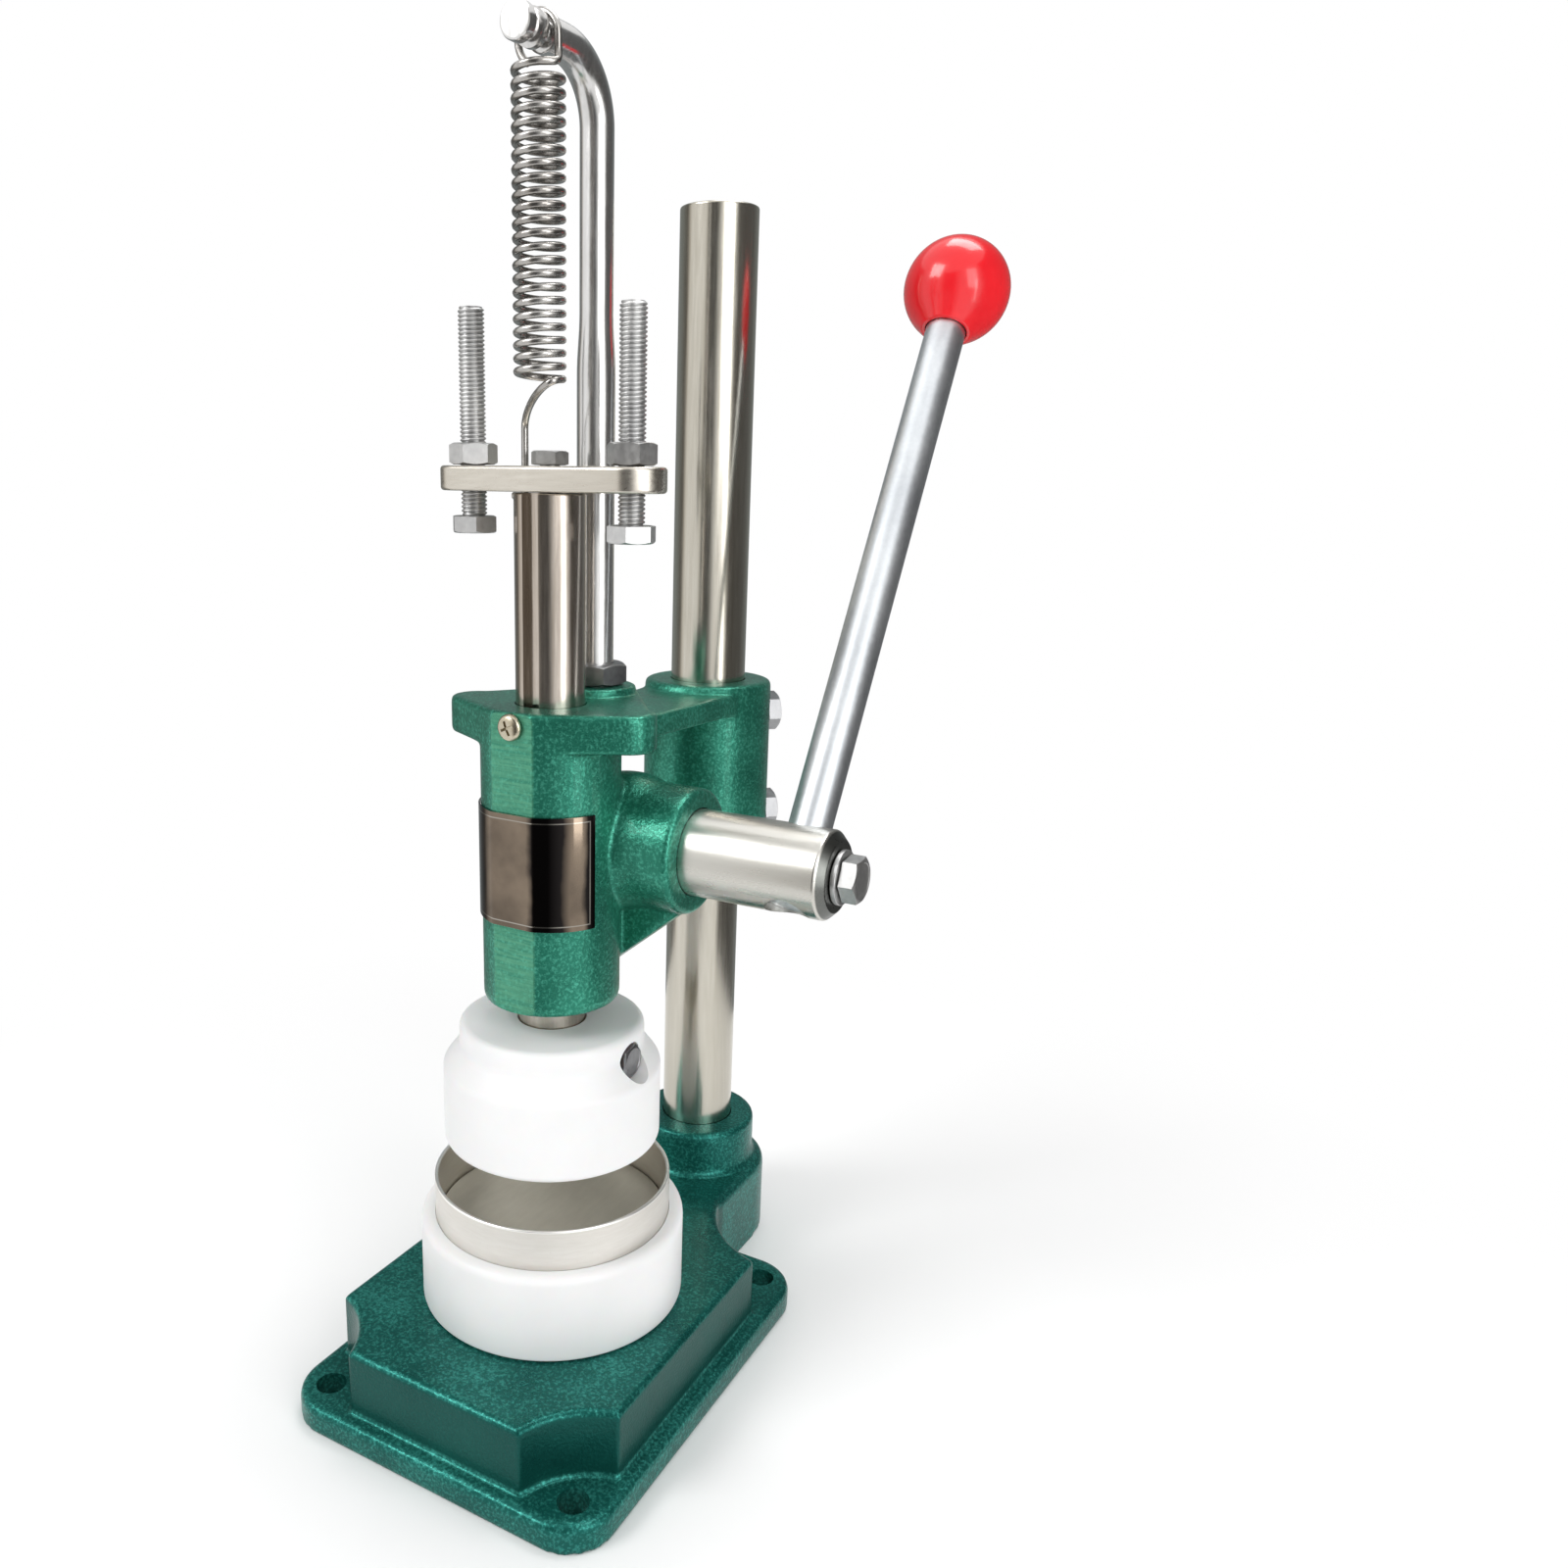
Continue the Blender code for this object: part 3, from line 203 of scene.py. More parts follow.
def slab(outline, low, high, ease=0.0, foot_ease=0.0, steps=4):
    """A flat plate from an outline that takes an inset; its edges are rounded."""
    rings = []
    for edge, level, way in ((foot_ease, low, 1), (ease, high, -1)):
        angles = [math.pi / 2 * step / steps for step in range(steps + 1)] if edge else [0.0]
        if way > 0:
            angles = angles[::-1]
        for angle in angles:
            inset = edge * (1 - math.cos(angle))
            height = level + way * edge * (1 - math.sin(angle))
            rings.append([Vector((x, y, height)) for x, y in outline(inset)])
    return loft(rings)


def band(circles, sides=96):
    """The outline of a band stretched round circles (x, y, radius), as a function of an inset."""
    full = []
    for x, y, radius in circles:
        full += [point.xy for point in circle(radius, 0, sides, (x, y))]
    order = convex_hull_2d(full)

    def outline(inset):
        drawn = []
        for x, y, radius in circles:
            drawn += [point.xy for point in circle(radius - inset, 0, sides, (x, y))]
        return [drawn[index] for index in order]

    return outline


def prism(outline, low, high):
    """A bar along X with an outline of (y, z) points."""
    return loft([[Vector((x, y, z)) for y, z in outline] for x in (low, high)])


def box_form(low, high):
    corners = ((low[0], low[1]), (high[0], low[1]), (high[0], high[1]), (low[0], high[1]))
    return loft([[Vector((x, y, z)) for x, y in corners] for z in (low[2], high[2])])


def swept(points, radii, sides=20):
    """A round bar along points, with a radius for each, in frames that don't twist."""
    tangents = []
    for index in range(len(points)):
        before = points[max(index - 1, 0)]
        after = points[min(index + 1, len(points) - 1)]
        tangents.append((after - before).normalized())
    side = tangents[0].orthogonal().normalized()
    rings = []
    for point, tangent, radius in zip(points, tangents, radii):
        side = (side - tangent * side.dot(tangent)).normalized()
        other = tangent.cross(side)
        rings.append([point + (side * ring_point.x + other * ring_point.y) * radius
                      for ring_point in circle(1.0, 0, sides)])
    return loft(rings)


def linked(name, data):
    """A new object of the scene, with its mesh, lamp or camera."""
    item = bpy.data.objects.new(name, data)
    bpy.context.scene.collection.objects.link(item)
    return item


def scene_object(name, form):
    mesh = bpy.data.meshes.new(name)
    mesh.from_pydata([point * METRES for point in form.points], [], form.faces)
    work = bmesh.new()
    work.from_mesh(mesh)
    bmesh.ops.recalc_face_normals(work, faces=work.faces)
    work.to_mesh(mesh)
    work.free()
    return linked(name, mesh)


def bake(item):
    """Apply an object's modifiers to its mesh."""
    bpy.context.view_layer.update()
    graph = bpy.context.evaluated_depsgraph_get()
    mesh = bpy.data.meshes.new_from_object(item.evaluated_get(graph))
    item.modifiers.clear()
    item.data = mesh
    return item


def carve(item, tool):
    """Take one object's shape out of another."""
    step = item.modifiers.new("cut", "BOOLEAN")
    step.operation = "DIFFERENCE"
    step.solver = "MANIFOLD"
    step.object = tool
    bake(item)
    bpy.data.objects.remove(tool, do_unlink=True)


def cut(item, forms):
    for form in forms:
        carve(item, scene_object("cutter", form))
    return item


def cast(name, forms, voxel, smoothing=7):
    """Fuse forms into one casting with soft fillets where they meet."""
    whole = forms[0]
    for form in forms[1:]:
        whole = whole + form
    item = scene_object(name, whole)
    fuse = item.modifiers.new("fuse", "REMESH")
    fuse.mode = "VOXEL"
    fuse.voxel_size = voxel * METRES
    fuse.use_smooth_shade = True
    bake(item)
    soften = item.modifiers.new("soften", "SMOOTH")
    soften.factor = 0.5
    soften.iterations = smoothing
    return bake(item)


def dress(item, material, body, nodes, slot, sharp=30.0):
    """Shade a piece, give it its finish and hang it on its body in place of the frame's nodes."""
    item.data.materials.clear()
    item.data.materials.append(material)
    item.data.shade_smooth()
    item.data.set_sharp_from_angle(angle=math.radians(sharp))
    weigh = item.modifiers.new("weigh", "WEIGHTED_NORMAL")
    weigh.keep_sharp = True
    bake(item)
    if body:
        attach(item, body)
    if nodes:
        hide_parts(*nodes)
    return item


def piece(name, form, *looks):
    """A new piece from a form, dressed at once."""
    return dress(scene_object(name, form), *looks)


# Shader maths

class Field:
    """A socket of a material's nodes, which takes part in plain arithmetic."""

    def __init__(self, tree, socket=None):
        self.tree = tree
        self.socket = socket

    def node(self, kind, settings, inputs, output=0):
        """Add any node: its settings first, then the values or links of its sockets."""
        made = self.tree.nodes.new(kind)
        for key, value in settings.items():
            if key == "stops":
                fill_ramp(made.color_ramp, value)
            else:
                setattr(made, key, value)
        for key, value in inputs.items():
            if isinstance(value, Field):
                self.tree.links.new(value.socket, made.inputs[key])
            else:
                made.inputs[key].default_value = value
        return Field(self.tree, made.outputs[output])

    def maths(self, operation, *values):
        """A Math node on the values given."""
        return self.node("ShaderNodeMath", {"operation": operation}, dict(enumerate(values)))

    def __add__(self, other):
        return self.maths("ADD", self, other)

    def __radd__(self, other):
        return self.maths("ADD", other, self)

    def __sub__(self, other):
        return self.maths("SUBTRACT", self, other)

    def __rsub__(self, other):
        return self.maths("SUBTRACT", other, self)

    def __mul__(self, other):
        return self.maths("MULTIPLY", self, other)

    def __rmul__(self, other):
        return self.maths("MULTIPLY", other, self)

    def __truediv__(self, other):
        return self.maths("DIVIDE", self, other)

    def __rtruediv__(self, other):
        return self.maths("DIVIDE", other, self)


def fill_ramp(ramp, stops):
    while len(ramp.elements) < len(stops):
        ramp.elements.new(1.0)
    for element, (place, colour) in zip(ramp.elements, stops):
        element.position = place
        element.color = (*colour, 1.0)


class Finish:
    """A material in the making: its place field, its nodes and its shader."""

    def __init__(self, name, **constants):
        self.material = bpy.data.materials.new(name)
        self.material.use_nodes = True
        self.tree = self.material.node_tree
        self.shader = self.tree.nodes["Principled BSDF"]
        self.place = Field(self.tree).node("ShaderNodeTexCoord", {}, {}, "Object")
        for socket, value in constants.items():
            self.shader.inputs[socket.replace("_", " ").title().replace("Ior", "IOR")].default_value = value

    def axes(self):
        """The place's three coordinates, in millimetres."""
        return [self.place.node("ShaderNodeSeparateXYZ", {}, {0: self.place}, output) / METRES
                for output in range(3)]

    def noise(self, scale, detail=2.0, roughness=0.5, stretch=(1, 1, 1)):
        """Noise of a scale per metre, from 0 to 1, stretched along the axes."""
        spread = self.place.node("ShaderNodeMapping", {}, {"Vector": self.place, "Scale": stretch})
        return self.place.node("ShaderNodeTexNoise", {},
                               {"Vector": spread, "Scale": scale, "Detail": detail, "Roughness": roughness})

    def levelness(self):
        """How level a face is: 0 on a wall, 1 on a flat."""
        normal = self.place.node("ShaderNodeNewGeometry", {}, {}, 1)
        height = self.place.node("ShaderNodeSeparateXYZ", {}, {0: normal}, 2)
        return height.maths("ABSOLUTE", height)

    def clipped(self, value, low, high, to_low=0.0, to_high=1.0):
        """A value from low to high brought to another range, and held at its ends."""
        return self.place.node("ShaderNodeMapRange", {}, {0: value, 1: low, 2: high, 3: to_low, 4: to_high})

    def ramp(self, value, stops):
        return self.place.node("ShaderNodeValToRGB", {"stops": stops}, {0: value})

    def blend(self, share, first, second):
        """A colour between two others."""
        def filled(colour):
            return colour if isinstance(colour, Field) else (*colour, 1.0)

        inputs = {0: share, 6: filled(first), 7: filled(second)}
        return self.place.node("ShaderNodeMix", {"data_type": "RGBA"}, inputs, 2)

    def bump(self, height, depth, strength):
        """A bump of a depth in millimetres."""
        inputs = {"Height": height, "Distance": depth * METRES, "Strength": strength}
        return self.place.node("ShaderNodeBump", {}, inputs)

    def show(self, item, surface):
        """Give an object this material, with a surface of its own."""
        self.tree.links.new(surface.socket, self.tree.nodes["Material Output"].inputs["Surface"])
        item.data.materials.append(self.material)

    def feed(self, **sockets):
        for name, value in sockets.items():
            self.tree.links.new(value.socket, self.shader.inputs[name.replace("_", " ").title()])
        return self.material


# Finishes

def green_paint(name, dark, light, flake, gloss, smooth_shaded_walls=False):
    """Teal hammertone enamel with bright flakes a millimetre or so wide.

    The front flat of the head's barrel has brush strokes with a painted highlight, and the plinth's walls can
    be smooth and darkened by painted shade.
    """
    finish = Finish(name, metallic=0.6, specular_ior_level=gloss, coat_weight=gloss / 3, coat_roughness=0.10)
    _, y, z = finish.axes()
    grain = finish.noise(980.0, 2.0, 0.55)
    fine = finish.noise(2200.0, 2.0, 0.6)
    drift = finish.noise(42.0, 3.0)
    flakes = finish.clipped(grain * 0.7 + fine * 0.3 + drift * 0.25, 0.60, 0.84)
    ground = finish.blend(finish.clipped(drift, 0.3, 0.7), dark, light)
    if smooth_shaded_walls:
        # The plinth's upright walls get fewer flakes and painted shade: their colour is pulled towards 0.45
        # of the dark tone.
        upright = finish.clipped(finish.levelness(), 0.35, 0.15)
        above = finish.clipped(z, flange_top + 0.5, flange_top + 2.0)
        ahead = finish.clipped(y, plinth_back + 2.0, plinth_back)
        wall = upright * above * ahead
        colour = finish.blend(flakes * (1 - wall * 0.85), ground, flake)
        # Painted shade on the plinth's walls.
        colour = finish.blend(wall * 0.45, colour, [part * 0.45 for part in dark])
    else:
        colour = finish.blend(flakes, ground, flake)
    # The barrel's front flat is lightened along its brush strokes: real brush marks with a painted highlight.
    in_front = finish.clipped(y, facet_y + 0.35, facet_y + 0.05)
    flat = in_front * finish.clipped(z, head_box.low.z - 2, head_box.low.z)
    strokes = finish.noise(1500.0, 3.0, 0.6, (0.05, 1.0, 1.0))
    brushed = flat * finish.clipped(strokes, 0.35, 0.65, 0.25, 0.75)
    height = (grain * 0.8 + fine * 0.2) * (1 - flat) + strokes * flat * 0.4
    return finish.feed(
        base_color=finish.blend(brushed, colour, (0.110, 0.360, 0.220)),
        roughness=finish.clipped(fine * 0.4 + drift * 0.6, 0.35, 0.65, 0.26, 0.36),
        normal=finish.bump(height, 0.24, 0.8),
    )


def turned_steel(name, colour, tarnish, roughness, stretch, marks_scale=900.0, end=None):
    """Ground steel with fine tool marks along one way and darker drifts.

    An end beyond a place on an axis, given as (axis, place, colour), may have its own colour; on the tart
    ring it is a painted highlight along the rim.
    """
    finish = Finish(name, metallic=1.0)
    marks = finish.noise(marks_scale, 3.0, 0.6, stretch)
    drift = finish.noise(35.0, 4.0, 0.55, stretch)
    specks = finish.noise(1400.0, 1.0)
    share = finish.clipped(drift * 0.7 + marks * 0.3, 0.38, 0.68)
    colour = finish.blend(share, tarnish, colour)
    colour = finish.blend(finish.clipped(specks, 0.70, 0.78) * 0.5, colour, tarnish)
    if end:
        axis, place, end_colour = end
        beyond = finish.clipped(finish.axes()[axis], place, place + 0.3)
        colour = finish.blend(beyond, colour, end_colour)
    return finish.feed(
        base_color=colour,
        roughness=finish.clipped(marks * 0.6 + drift * 0.4, 0.3, 0.7, *roughness),
        normal=finish.bump(marks, 0.012, 0.5),
    )


def matt_disc():
    """The plain metal disc that the dough lies on, matt and grey brown."""
    finish = Finish("matt_disc", metallic=0.25, specular_ior_level=0.3)
    marks = finish.noise(420.0, 3.0, 0.6, (1.0, 0.25, 1.0))
    drift = finish.noise(38.0, 3.0)
    colour = finish.blend(finish.clipped(drift * 0.6 + marks * 0.4, 0.35, 0.65), (0.470, 0.445, 0.375),
                          (0.570, 0.545, 0.465))
    return finish.feed(
        base_color=colour,
        roughness=finish.clipped(marks, 0.3, 0.7, 0.44, 0.58),
        normal=finish.bump(marks, 0.02, 0.5),
    )


def nylon():
    """Machined white nylon: faint turning rings and a soft milky drift."""
    finish = Finish("white_nylon", specular_ior_level=0.3, subsurface_weight=0.12, subsurface_scale=0.004)
    rings = finish.noise(700.0, 2.0, 0.5, (0.08, 0.08, 1.0))
    drift = finish.noise(40.0, 3.0)
    colour = finish.blend(finish.clipped(drift, 0.3, 0.7), (0.82, 0.82, 0.82), (0.855, 0.855, 0.855))
    return finish.feed(
        base_color=colour,
        roughness=finish.clipped(rings + drift, 0.7, 1.3, 0.34, 0.50),
        normal=finish.bump(rings, 0.02, 0.4),
    )


def red_gloss():
    """Moulded red plastic with a faint unevenness in its gloss."""
    finish = Finish("red_gloss", coat_weight=0.35, coat_roughness=0.04)
    drift = finish.noise(55.0, 2.0)
    fine = finish.noise(600.0, 2.0)
    colour = finish.blend(finish.clipped(drift, 0.3, 0.7), (0.74, 0.008, 0.015), (0.85, 0.014, 0.022))
    return finish.feed(
        base_color=colour,
        roughness=finish.clipped(fine, 0.3, 0.7, 0.16, 0.24),
        normal=finish.bump(drift, 0.15, 0.25),
    )


def blank_plate():
    """Black name plate without words: brown bands by its bearing, which are painted reflections, and a thin
    pale line inside its edge.
    """
    finish = Finish("blank_plate", metallic=1.0, coat_weight=0.1, coat_roughness=0.05)
    x, y, z = finish.axes()
    bearing = finish.place.maths("ARCTAN2", x, ram_y - y)
    side = (name_plate_half_angle - bearing.maths("ABSOLUTE", bearing)) * (name_plate_box.size.x / 2)
    above = z - name_plate_box.low.z
    below = name_plate_box.high.z - z
    edge = side.maths("MINIMUM", side, above.maths("MINIMUM", above, below))
    line = finish.clipped(edge, 1.5, 1.65) * finish.clipped(edge, 2.0, 1.85)
    wear = finish.noise(90.0, 3.0)
    black, brown = (0.014, 0.012, 0.012), (0.230, 0.180, 0.135)
    across = bearing / (2 * name_plate_half_angle) + 0.5
    # Brown bands across the plate by its bearing: painted reflections, faded towards black here and there by
    # the wear noise.
    reflection_bands = finish.ramp(across + (wear - 0.5) * 0.06, [
        (0.26, black), (0.31, brown), (0.60, brown), (0.64, black), (0.80, black), (0.85, brown),
        (0.92, brown), (0.95, black),
    ])
    field = finish.blend(finish.clipped(wear, 0.35, 0.8, 0.0, 0.5), reflection_bands, black)
    return finish.feed(
        base_color=finish.blend(line * finish.clipped(wear, 0.2, 0.6, 0.45, 0.9), field, (0.42, 0.40, 0.36)),
        roughness=finish.clipped(wear, 0.3, 0.7, 0.08, 0.16),
        normal=finish.bump(wear, 0.06, 0.3),
    )


# The tool marks' ways, as stretches of the noise along X, Y and Z
turned_on_x = (0.08, 1.0, 1.0)
drawn_on_x = (0.05, 1.0, 1.0)
drawn_on_z = (1.0, 1.0, 0.06)
rolled_round = (0.15, 0.15, 1.0)
rod_drawn = (1.0, 1.0, 0.08)
even = (1.0, 1.0, 1.0)
soft_marks = 700.0
coarse_marks = 500.0

paint = green_paint("head_paint", (0.014, 0.150, 0.100), (0.020, 0.200, 0.132), (0.080, 0.420, 0.300), 0.30)
base_paint = green_paint("base_paint", (0.006, 0.092, 0.078), (0.009, 0.118, 0.098), (0.050, 0.320, 0.270),
                         0.15, smooth_shaded_walls=True)
column_steel = turned_steel("column_steel", (0.68, 0.65, 0.58), (0.50, 0.47, 0.40), (0.14, 0.26), drawn_on_z)
ram_steel = turned_steel("ram_steel", (0.70, 0.64, 0.58), (0.42, 0.36, 0.30), (0.12, 0.24), drawn_on_z)
hub_steel = turned_steel("hub_steel", (0.70, 0.69, 0.65), (0.60, 0.585, 0.54), (0.24, 0.36), turned_on_x,
                         end=(0, shaft_box.high.x - 2.4, (0.160, 0.165, 0.155)))
rod_steel = turned_steel("rod_steel", (0.84, 0.84, 0.83), (0.64, 0.63, 0.62), (0.14, 0.30), rod_drawn)
plate_steel = turned_steel("plate_steel", (0.76, 0.72, 0.65), (0.58, 0.54, 0.47), (0.22, 0.36), drawn_on_x)
# The ring's top 0.8 mm is near white: a painted highlight along its rim.
sheet_steel = turned_steel("sheet_steel", (0.80, 0.78, 0.74), (0.68, 0.65, 0.60), (0.30, 0.42), rolled_round,
                           end=(2, tart_ring_box.high.z - 0.8, (0.98, 0.97, 0.94)))
zinc = turned_steel("zinc", (0.72, 0.72, 0.71), (0.50, 0.50, 0.50), (0.34, 0.48), even, coarse_marks)
dull_zinc = turned_steel("dull_zinc", (0.44, 0.445, 0.45), (0.24, 0.24, 0.25), (0.26, 0.42), even,
                         coarse_marks)
nickel = turned_steel("nickel", (0.70, 0.66, 0.56), (0.48, 0.42, 0.30), (0.18, 0.30), even, coarse_marks)
spring_steel = turned_steel("spring_steel", (0.58, 0.57, 0.55), (0.34, 0.32, 0.30), (0.16, 0.30), even,
                            coarse_marks)
satin_silver = turned_steel("satin_silver", (0.76, 0.79, 0.81), (0.62, 0.65, 0.68), (0.34, 0.44), even,
                            soft_marks)
floor_steel = matt_disc()
white_nylon = nylon()
knob_red = red_gloss()
plate_black = blank_plate()


# Base and column

base_width = base_box.size.x
base_corner = 16.5
plinth_top = 32.0
scallop_front_radius = 31.5
scallop_rear_radius = 38.0
scallop_centre_out = 3.5
hole_inset = 12.0
hole_radius = 5.0
base_wall = 8.0
base_wall_top = 22.0
rib_half = 6.0
lobe_radius = base_box.high.y - column_y
socket_radius = 23.3
socket_foot = 1.6
column_radius = column_box.size.x / 2


def rounded_rectangle(half_x, half_y, radius, steps=12):
    def outline(inset):
        points = []
        for quarter, (side_x, side_y) in enumerate(((1, 1), (-1, 1), (-1, -1), (1, -1))):
            start = quarter * math.pi / 2
            points += arc((side_x * (half_x - radius), side_y * (half_y - radius)), radius - inset,
                          start, start + math.pi / 2, steps)
        return points
    return outline


def scalloped_rectangle(half_x, half_y, drawn_in=0.0, steps=24):
    """A rectangle whose corners are hollowed by circles centred just outside the base's corners."""
    centre = (base_width / 2 + scallop_centre_out, base_depth / 2 + scallop_centre_out)

    def outline(inset):
        points = []
        for side_x, side_y in ((1, 1), (-1, 1), (-1, -1), (1, -1)):
            reach = (scallop_rear_radius if side_y > 0 else scallop_front_radius) + drawn_in + inset
            start = math.acos((centre[0] - half_x + inset) / reach) - math.pi
            end = math.asin((centre[1] - half_y + inset) / reach) - math.pi
            mirrored = [(side_x * x, side_y * y) for x, y in arc(centre, reach, start, end, steps)]
            points += mirrored if side_x == side_y else mirrored[::-1]
        return points
    return outline


def make_base():
    plinth_x = base_width / 2 - plinth_inset
    flange = slab(rounded_rectangle(base_width / 2, base_depth / 2, base_corner), 0.0, flange_top, 2.2)
    plinth = slab(scalloped_rectangle(plinth_x, plinth_back), 1.0, plinth_top, 1.6)
    lobe = slab(band([(0, column_y, lobe_radius), (0, plinth_back - lobe_radius, lobe_radius)]),
                0.0, plinth_top - 0.2, 3.0)
    socket = lathe([
        (socket_radius + socket_foot, plinth_top - 6.0, 0),
        (socket_radius + socket_foot, plinth_top - 0.2, 0.8),
        (socket_radius, plinth_top + 1.4, 0.8),
        (socket_radius, base_box.high.z, 2.0),
        (column_radius, base_box.high.z, 0),
    ]).at(y=column_y)
    base = cast("base", [flange, plinth, lobe, socket], voxel=0.8)
    tools = [drill(column_radius + gap, 6.0, 60.0, 128).at(y=column_y)]
    hole_x = base_width / 2 - hole_inset
    hole_y = base_depth / 2 - hole_inset
    for side_x in (-1, 1):
        for side_y in (-1, 1):
            tools.append(drill(hole_radius, -2.0, 40.0).at(side_x * hole_x, side_y * hole_y))
    cut(base, tools)
    cut_underside(base, plinth_x - base_wall, plinth_back - base_wall)
    return dress(base, base_paint, "stand", ["base_casting"], "green_paint", 40.0)


def cut_underside(base, half_x, half_y):
    """The hollow underside: six cells between a long rib and two cross ribs."""
    pocket_form = slab(scalloped_rectangle(half_x, half_y, base_wall), -2.0, base_wall_top, 2.0)
    ribs = [box_form((-rib_half, -90.0, -4.0), (rib_half, 90.0, 40.0))]
    for side in (-1, 1):
        middle = side * half_y / 3
        ribs.append(box_form((-70.0, middle - rib_half, -4.0), (70.0, middle + rib_half, 40.0)))
    carve(base, cut(scene_object("pocket", pocket_form), ribs))


def make_column():
    low, high = column_box.low.z, column_box.high.z
    bar = lathe([
        (column_radius - 2.0, low, 0), (column_radius, low, 1.0), (column_radius, high, 0.9),
        (column_radius - 2.5, high, 0),
    ], 160).at(y=column_y)
    piece("column_bar", bar, column_steel, "stand", ["column"], "polished_steel")


# Lower die set

die_screw_radius = 4.0
ring_thickness = 1.2


def make_lower_die():
    radius = lower_die_box.size.x / 2
    low, high = lower_die_box.low.z, lower_die_box.high.z
    groove_outer = tart_ring_box.size.x / 2 + 0.1
    groove_inner = forming_plate_box.size.x / 2
    seat = tart_ring_box.low.z - gap
    floor = forming_plate_box.low.z - gap
    head = die_screw_box.size.x / 2 + gap
    bore = die_screw_radius + gap
    block = turned(softened([
        (bore, low, 0), (radius, low, 1.0), (radius, high, 3.0), (groove_outer, high, 0.2),
        (groove_outer, seat, 0), (groove_inner, seat, 0), (groove_inner, floor, 0.3), (head, floor, 0),
        (bore, floor - head + bore, 0),
    ], 6), 160, hollow=True).at(y=ram_y)
    piece("lower_die_block", block, white_nylon, "stand", ["lower_die"], "white_nylon")


def make_forming_plate():
    """A loose disc on the die's floor, and the countersunk screw below it that holds the die."""
    radius = forming_plate_box.size.x / 2
    plate = lathe([
        (radius - 2.0, forming_plate_box.low.z, 0), (radius, forming_plate_box.low.z, 0.2),
        (radius, forming_plate_box.high.z, 0.4), (1.0, forming_plate_box.high.z, 0),
    ]).at(y=ram_y)
    piece("forming_disc", plate, floor_steel, "stand", ["forming_plate"], "brushed_steel")
    head, high = die_screw_box.size.x / 2, die_screw_box.high.z
    screw = lathe([
        (die_screw_radius, die_screw_box.low.z, 0), (die_screw_radius, high - head + die_screw_radius, 0),
        (head, high, 0.2), (3.4, high, 0), (3.2, high - 2.4, 0),
    ], 60).at(y=ram_y)
    piece("die_screw", screw, zinc, "stand", ["lower_die_screw"], "zinc_plate")


def make_tart_ring():
    outer = tart_ring_box.size.x / 2
    inner = outer - ring_thickness
    low, high = tart_ring_box.low.z, tart_ring_box.high.z
    start = (inner, (low + high) / 2, 0)
    ring = turned(softened([
        start, (inner, low, 0.2), (outer, low, 0.2), (outer, high, 0.5), (inner, high, 0.5), start,
    ])[:-1], 192, hollow=True).at(y=ram_y)
    piece("ring_band", ring, sheet_steel, "ring", ["tart_ring"], "brushed_steel")


# Head casting

barrel_high = 236.5
ear_thickness = 12.0
ear_radius = 8.5
stop_reach = 28.7
boss_radius = 15.0
boss_seat_radius = 13.5
rear_radius = 24.0
rear_low = 165.0
rear_high = 231.0
web_high = 228.0
web_thickness = 7.8
web_front_half = 13.0
web_back_half = 21.0
upright_half = 6.0
upright_high = 192.0
upright_front_low = 142.5
upright_back_low = 168.0
gusset_low = 143.5
gusset_foot = 8.0
gusset_drop = 19.3
gusset_half = 6.0
spot_face_radius = 8.2
guide_bore_radius = 2.8
bearing_flare = 2.2
pinion_barrel_radius = 20.5
pinion_barrel_left = shaft_box.low.x
pinion_barrel_right = head_box.high.x


def head_forms():
    low, high = head_box.low.z, barrel_high
    ear_low = high - ear_thickness
    ram_bore = ram_box.size.x / 2
    barrel = lathe([
        (ram_bore, low, 0), (barrel_radius, low, 2.0), (barrel_radius, high, 1.6), (ram_bore, high, 0),
    ]).at(y=ram_y)
    rear = lathe([
        (column_radius, rear_low, 0), (rear_radius, rear_low, 2.2), (rear_radius, rear_high, 2.4),
        (column_radius, rear_high, 0),
    ]).at(y=column_y)

    def fan(ear, middle_y, middle_radius):
        """A plate stretched from ear to ear round a circle between them."""
        circles = [(-stop_reach, ram_y, ear), (0, middle_y, middle_radius), (stop_reach, ram_y, ear)]
        return slab(band(circles), ear_low, high, 1.6, 1.2)

    ears = fan(ear_radius, ram_y, barrel_radius)
    boss = fan(ear_radius - 1.5, rod_y, boss_radius)
    seat_high = head_box.high.z
    seat = lathe([
        (rod_radius, ear_low + 1.2, 0), (boss_seat_radius, ear_low + 1.2, 0),
        (boss_seat_radius, seat_high, 1.0), (rod_radius, seat_high, 0),
    ]).at(y=rod_y)

    def web_outline(inset):
        front_y = ram_y + 11.0
        return [(-web_front_half + inset, front_y), (web_front_half - inset, front_y),
                (web_back_half - inset, column_y), (-web_back_half + inset, column_y)]

    web = slab(web_outline, web_high - web_thickness, web_high, 1.6, 1.2)
    upright = prism([(ram_y, upright_front_low), (column_y, upright_back_low), (column_y, upright_high),
                     (ram_y, upright_high)], -upright_half, upright_half)
    flared = pinion_barrel_radius + bearing_flare
    right = pinion_barrel_right
    sleeve = lathe([
        (pinion_barrel_radius - 3.0, pinion_barrel_left, 0), (pinion_barrel_radius, pinion_barrel_left, 1.6),
        (pinion_barrel_radius, 5.0, 0), (flared, 12.0, 4.0), (flared, 19.5, 2.4),
        (pinion_barrel_radius, 27.0, 2.4), (pinion_barrel_radius, right, 2.0),
        (pinion_barrel_radius - 5.0, right, 0),
    ]).along((0, pinion_y, pinion_z), (1, 0, 0))
    end = right - 2.4
    side = ((0, gusset_low), (gusset_foot, gusset_low), (end, pinion_z - gusset_drop), (end, pinion_z),
            (0, pinion_z))
    gusset = loft([[Vector((x, y, z)) for x, z in side]
                   for y in (pinion_y - gusset_half, pinion_y + gusset_half)])
    return [barrel, rear, ears, boss, seat, web, upright, sleeve, gusset]


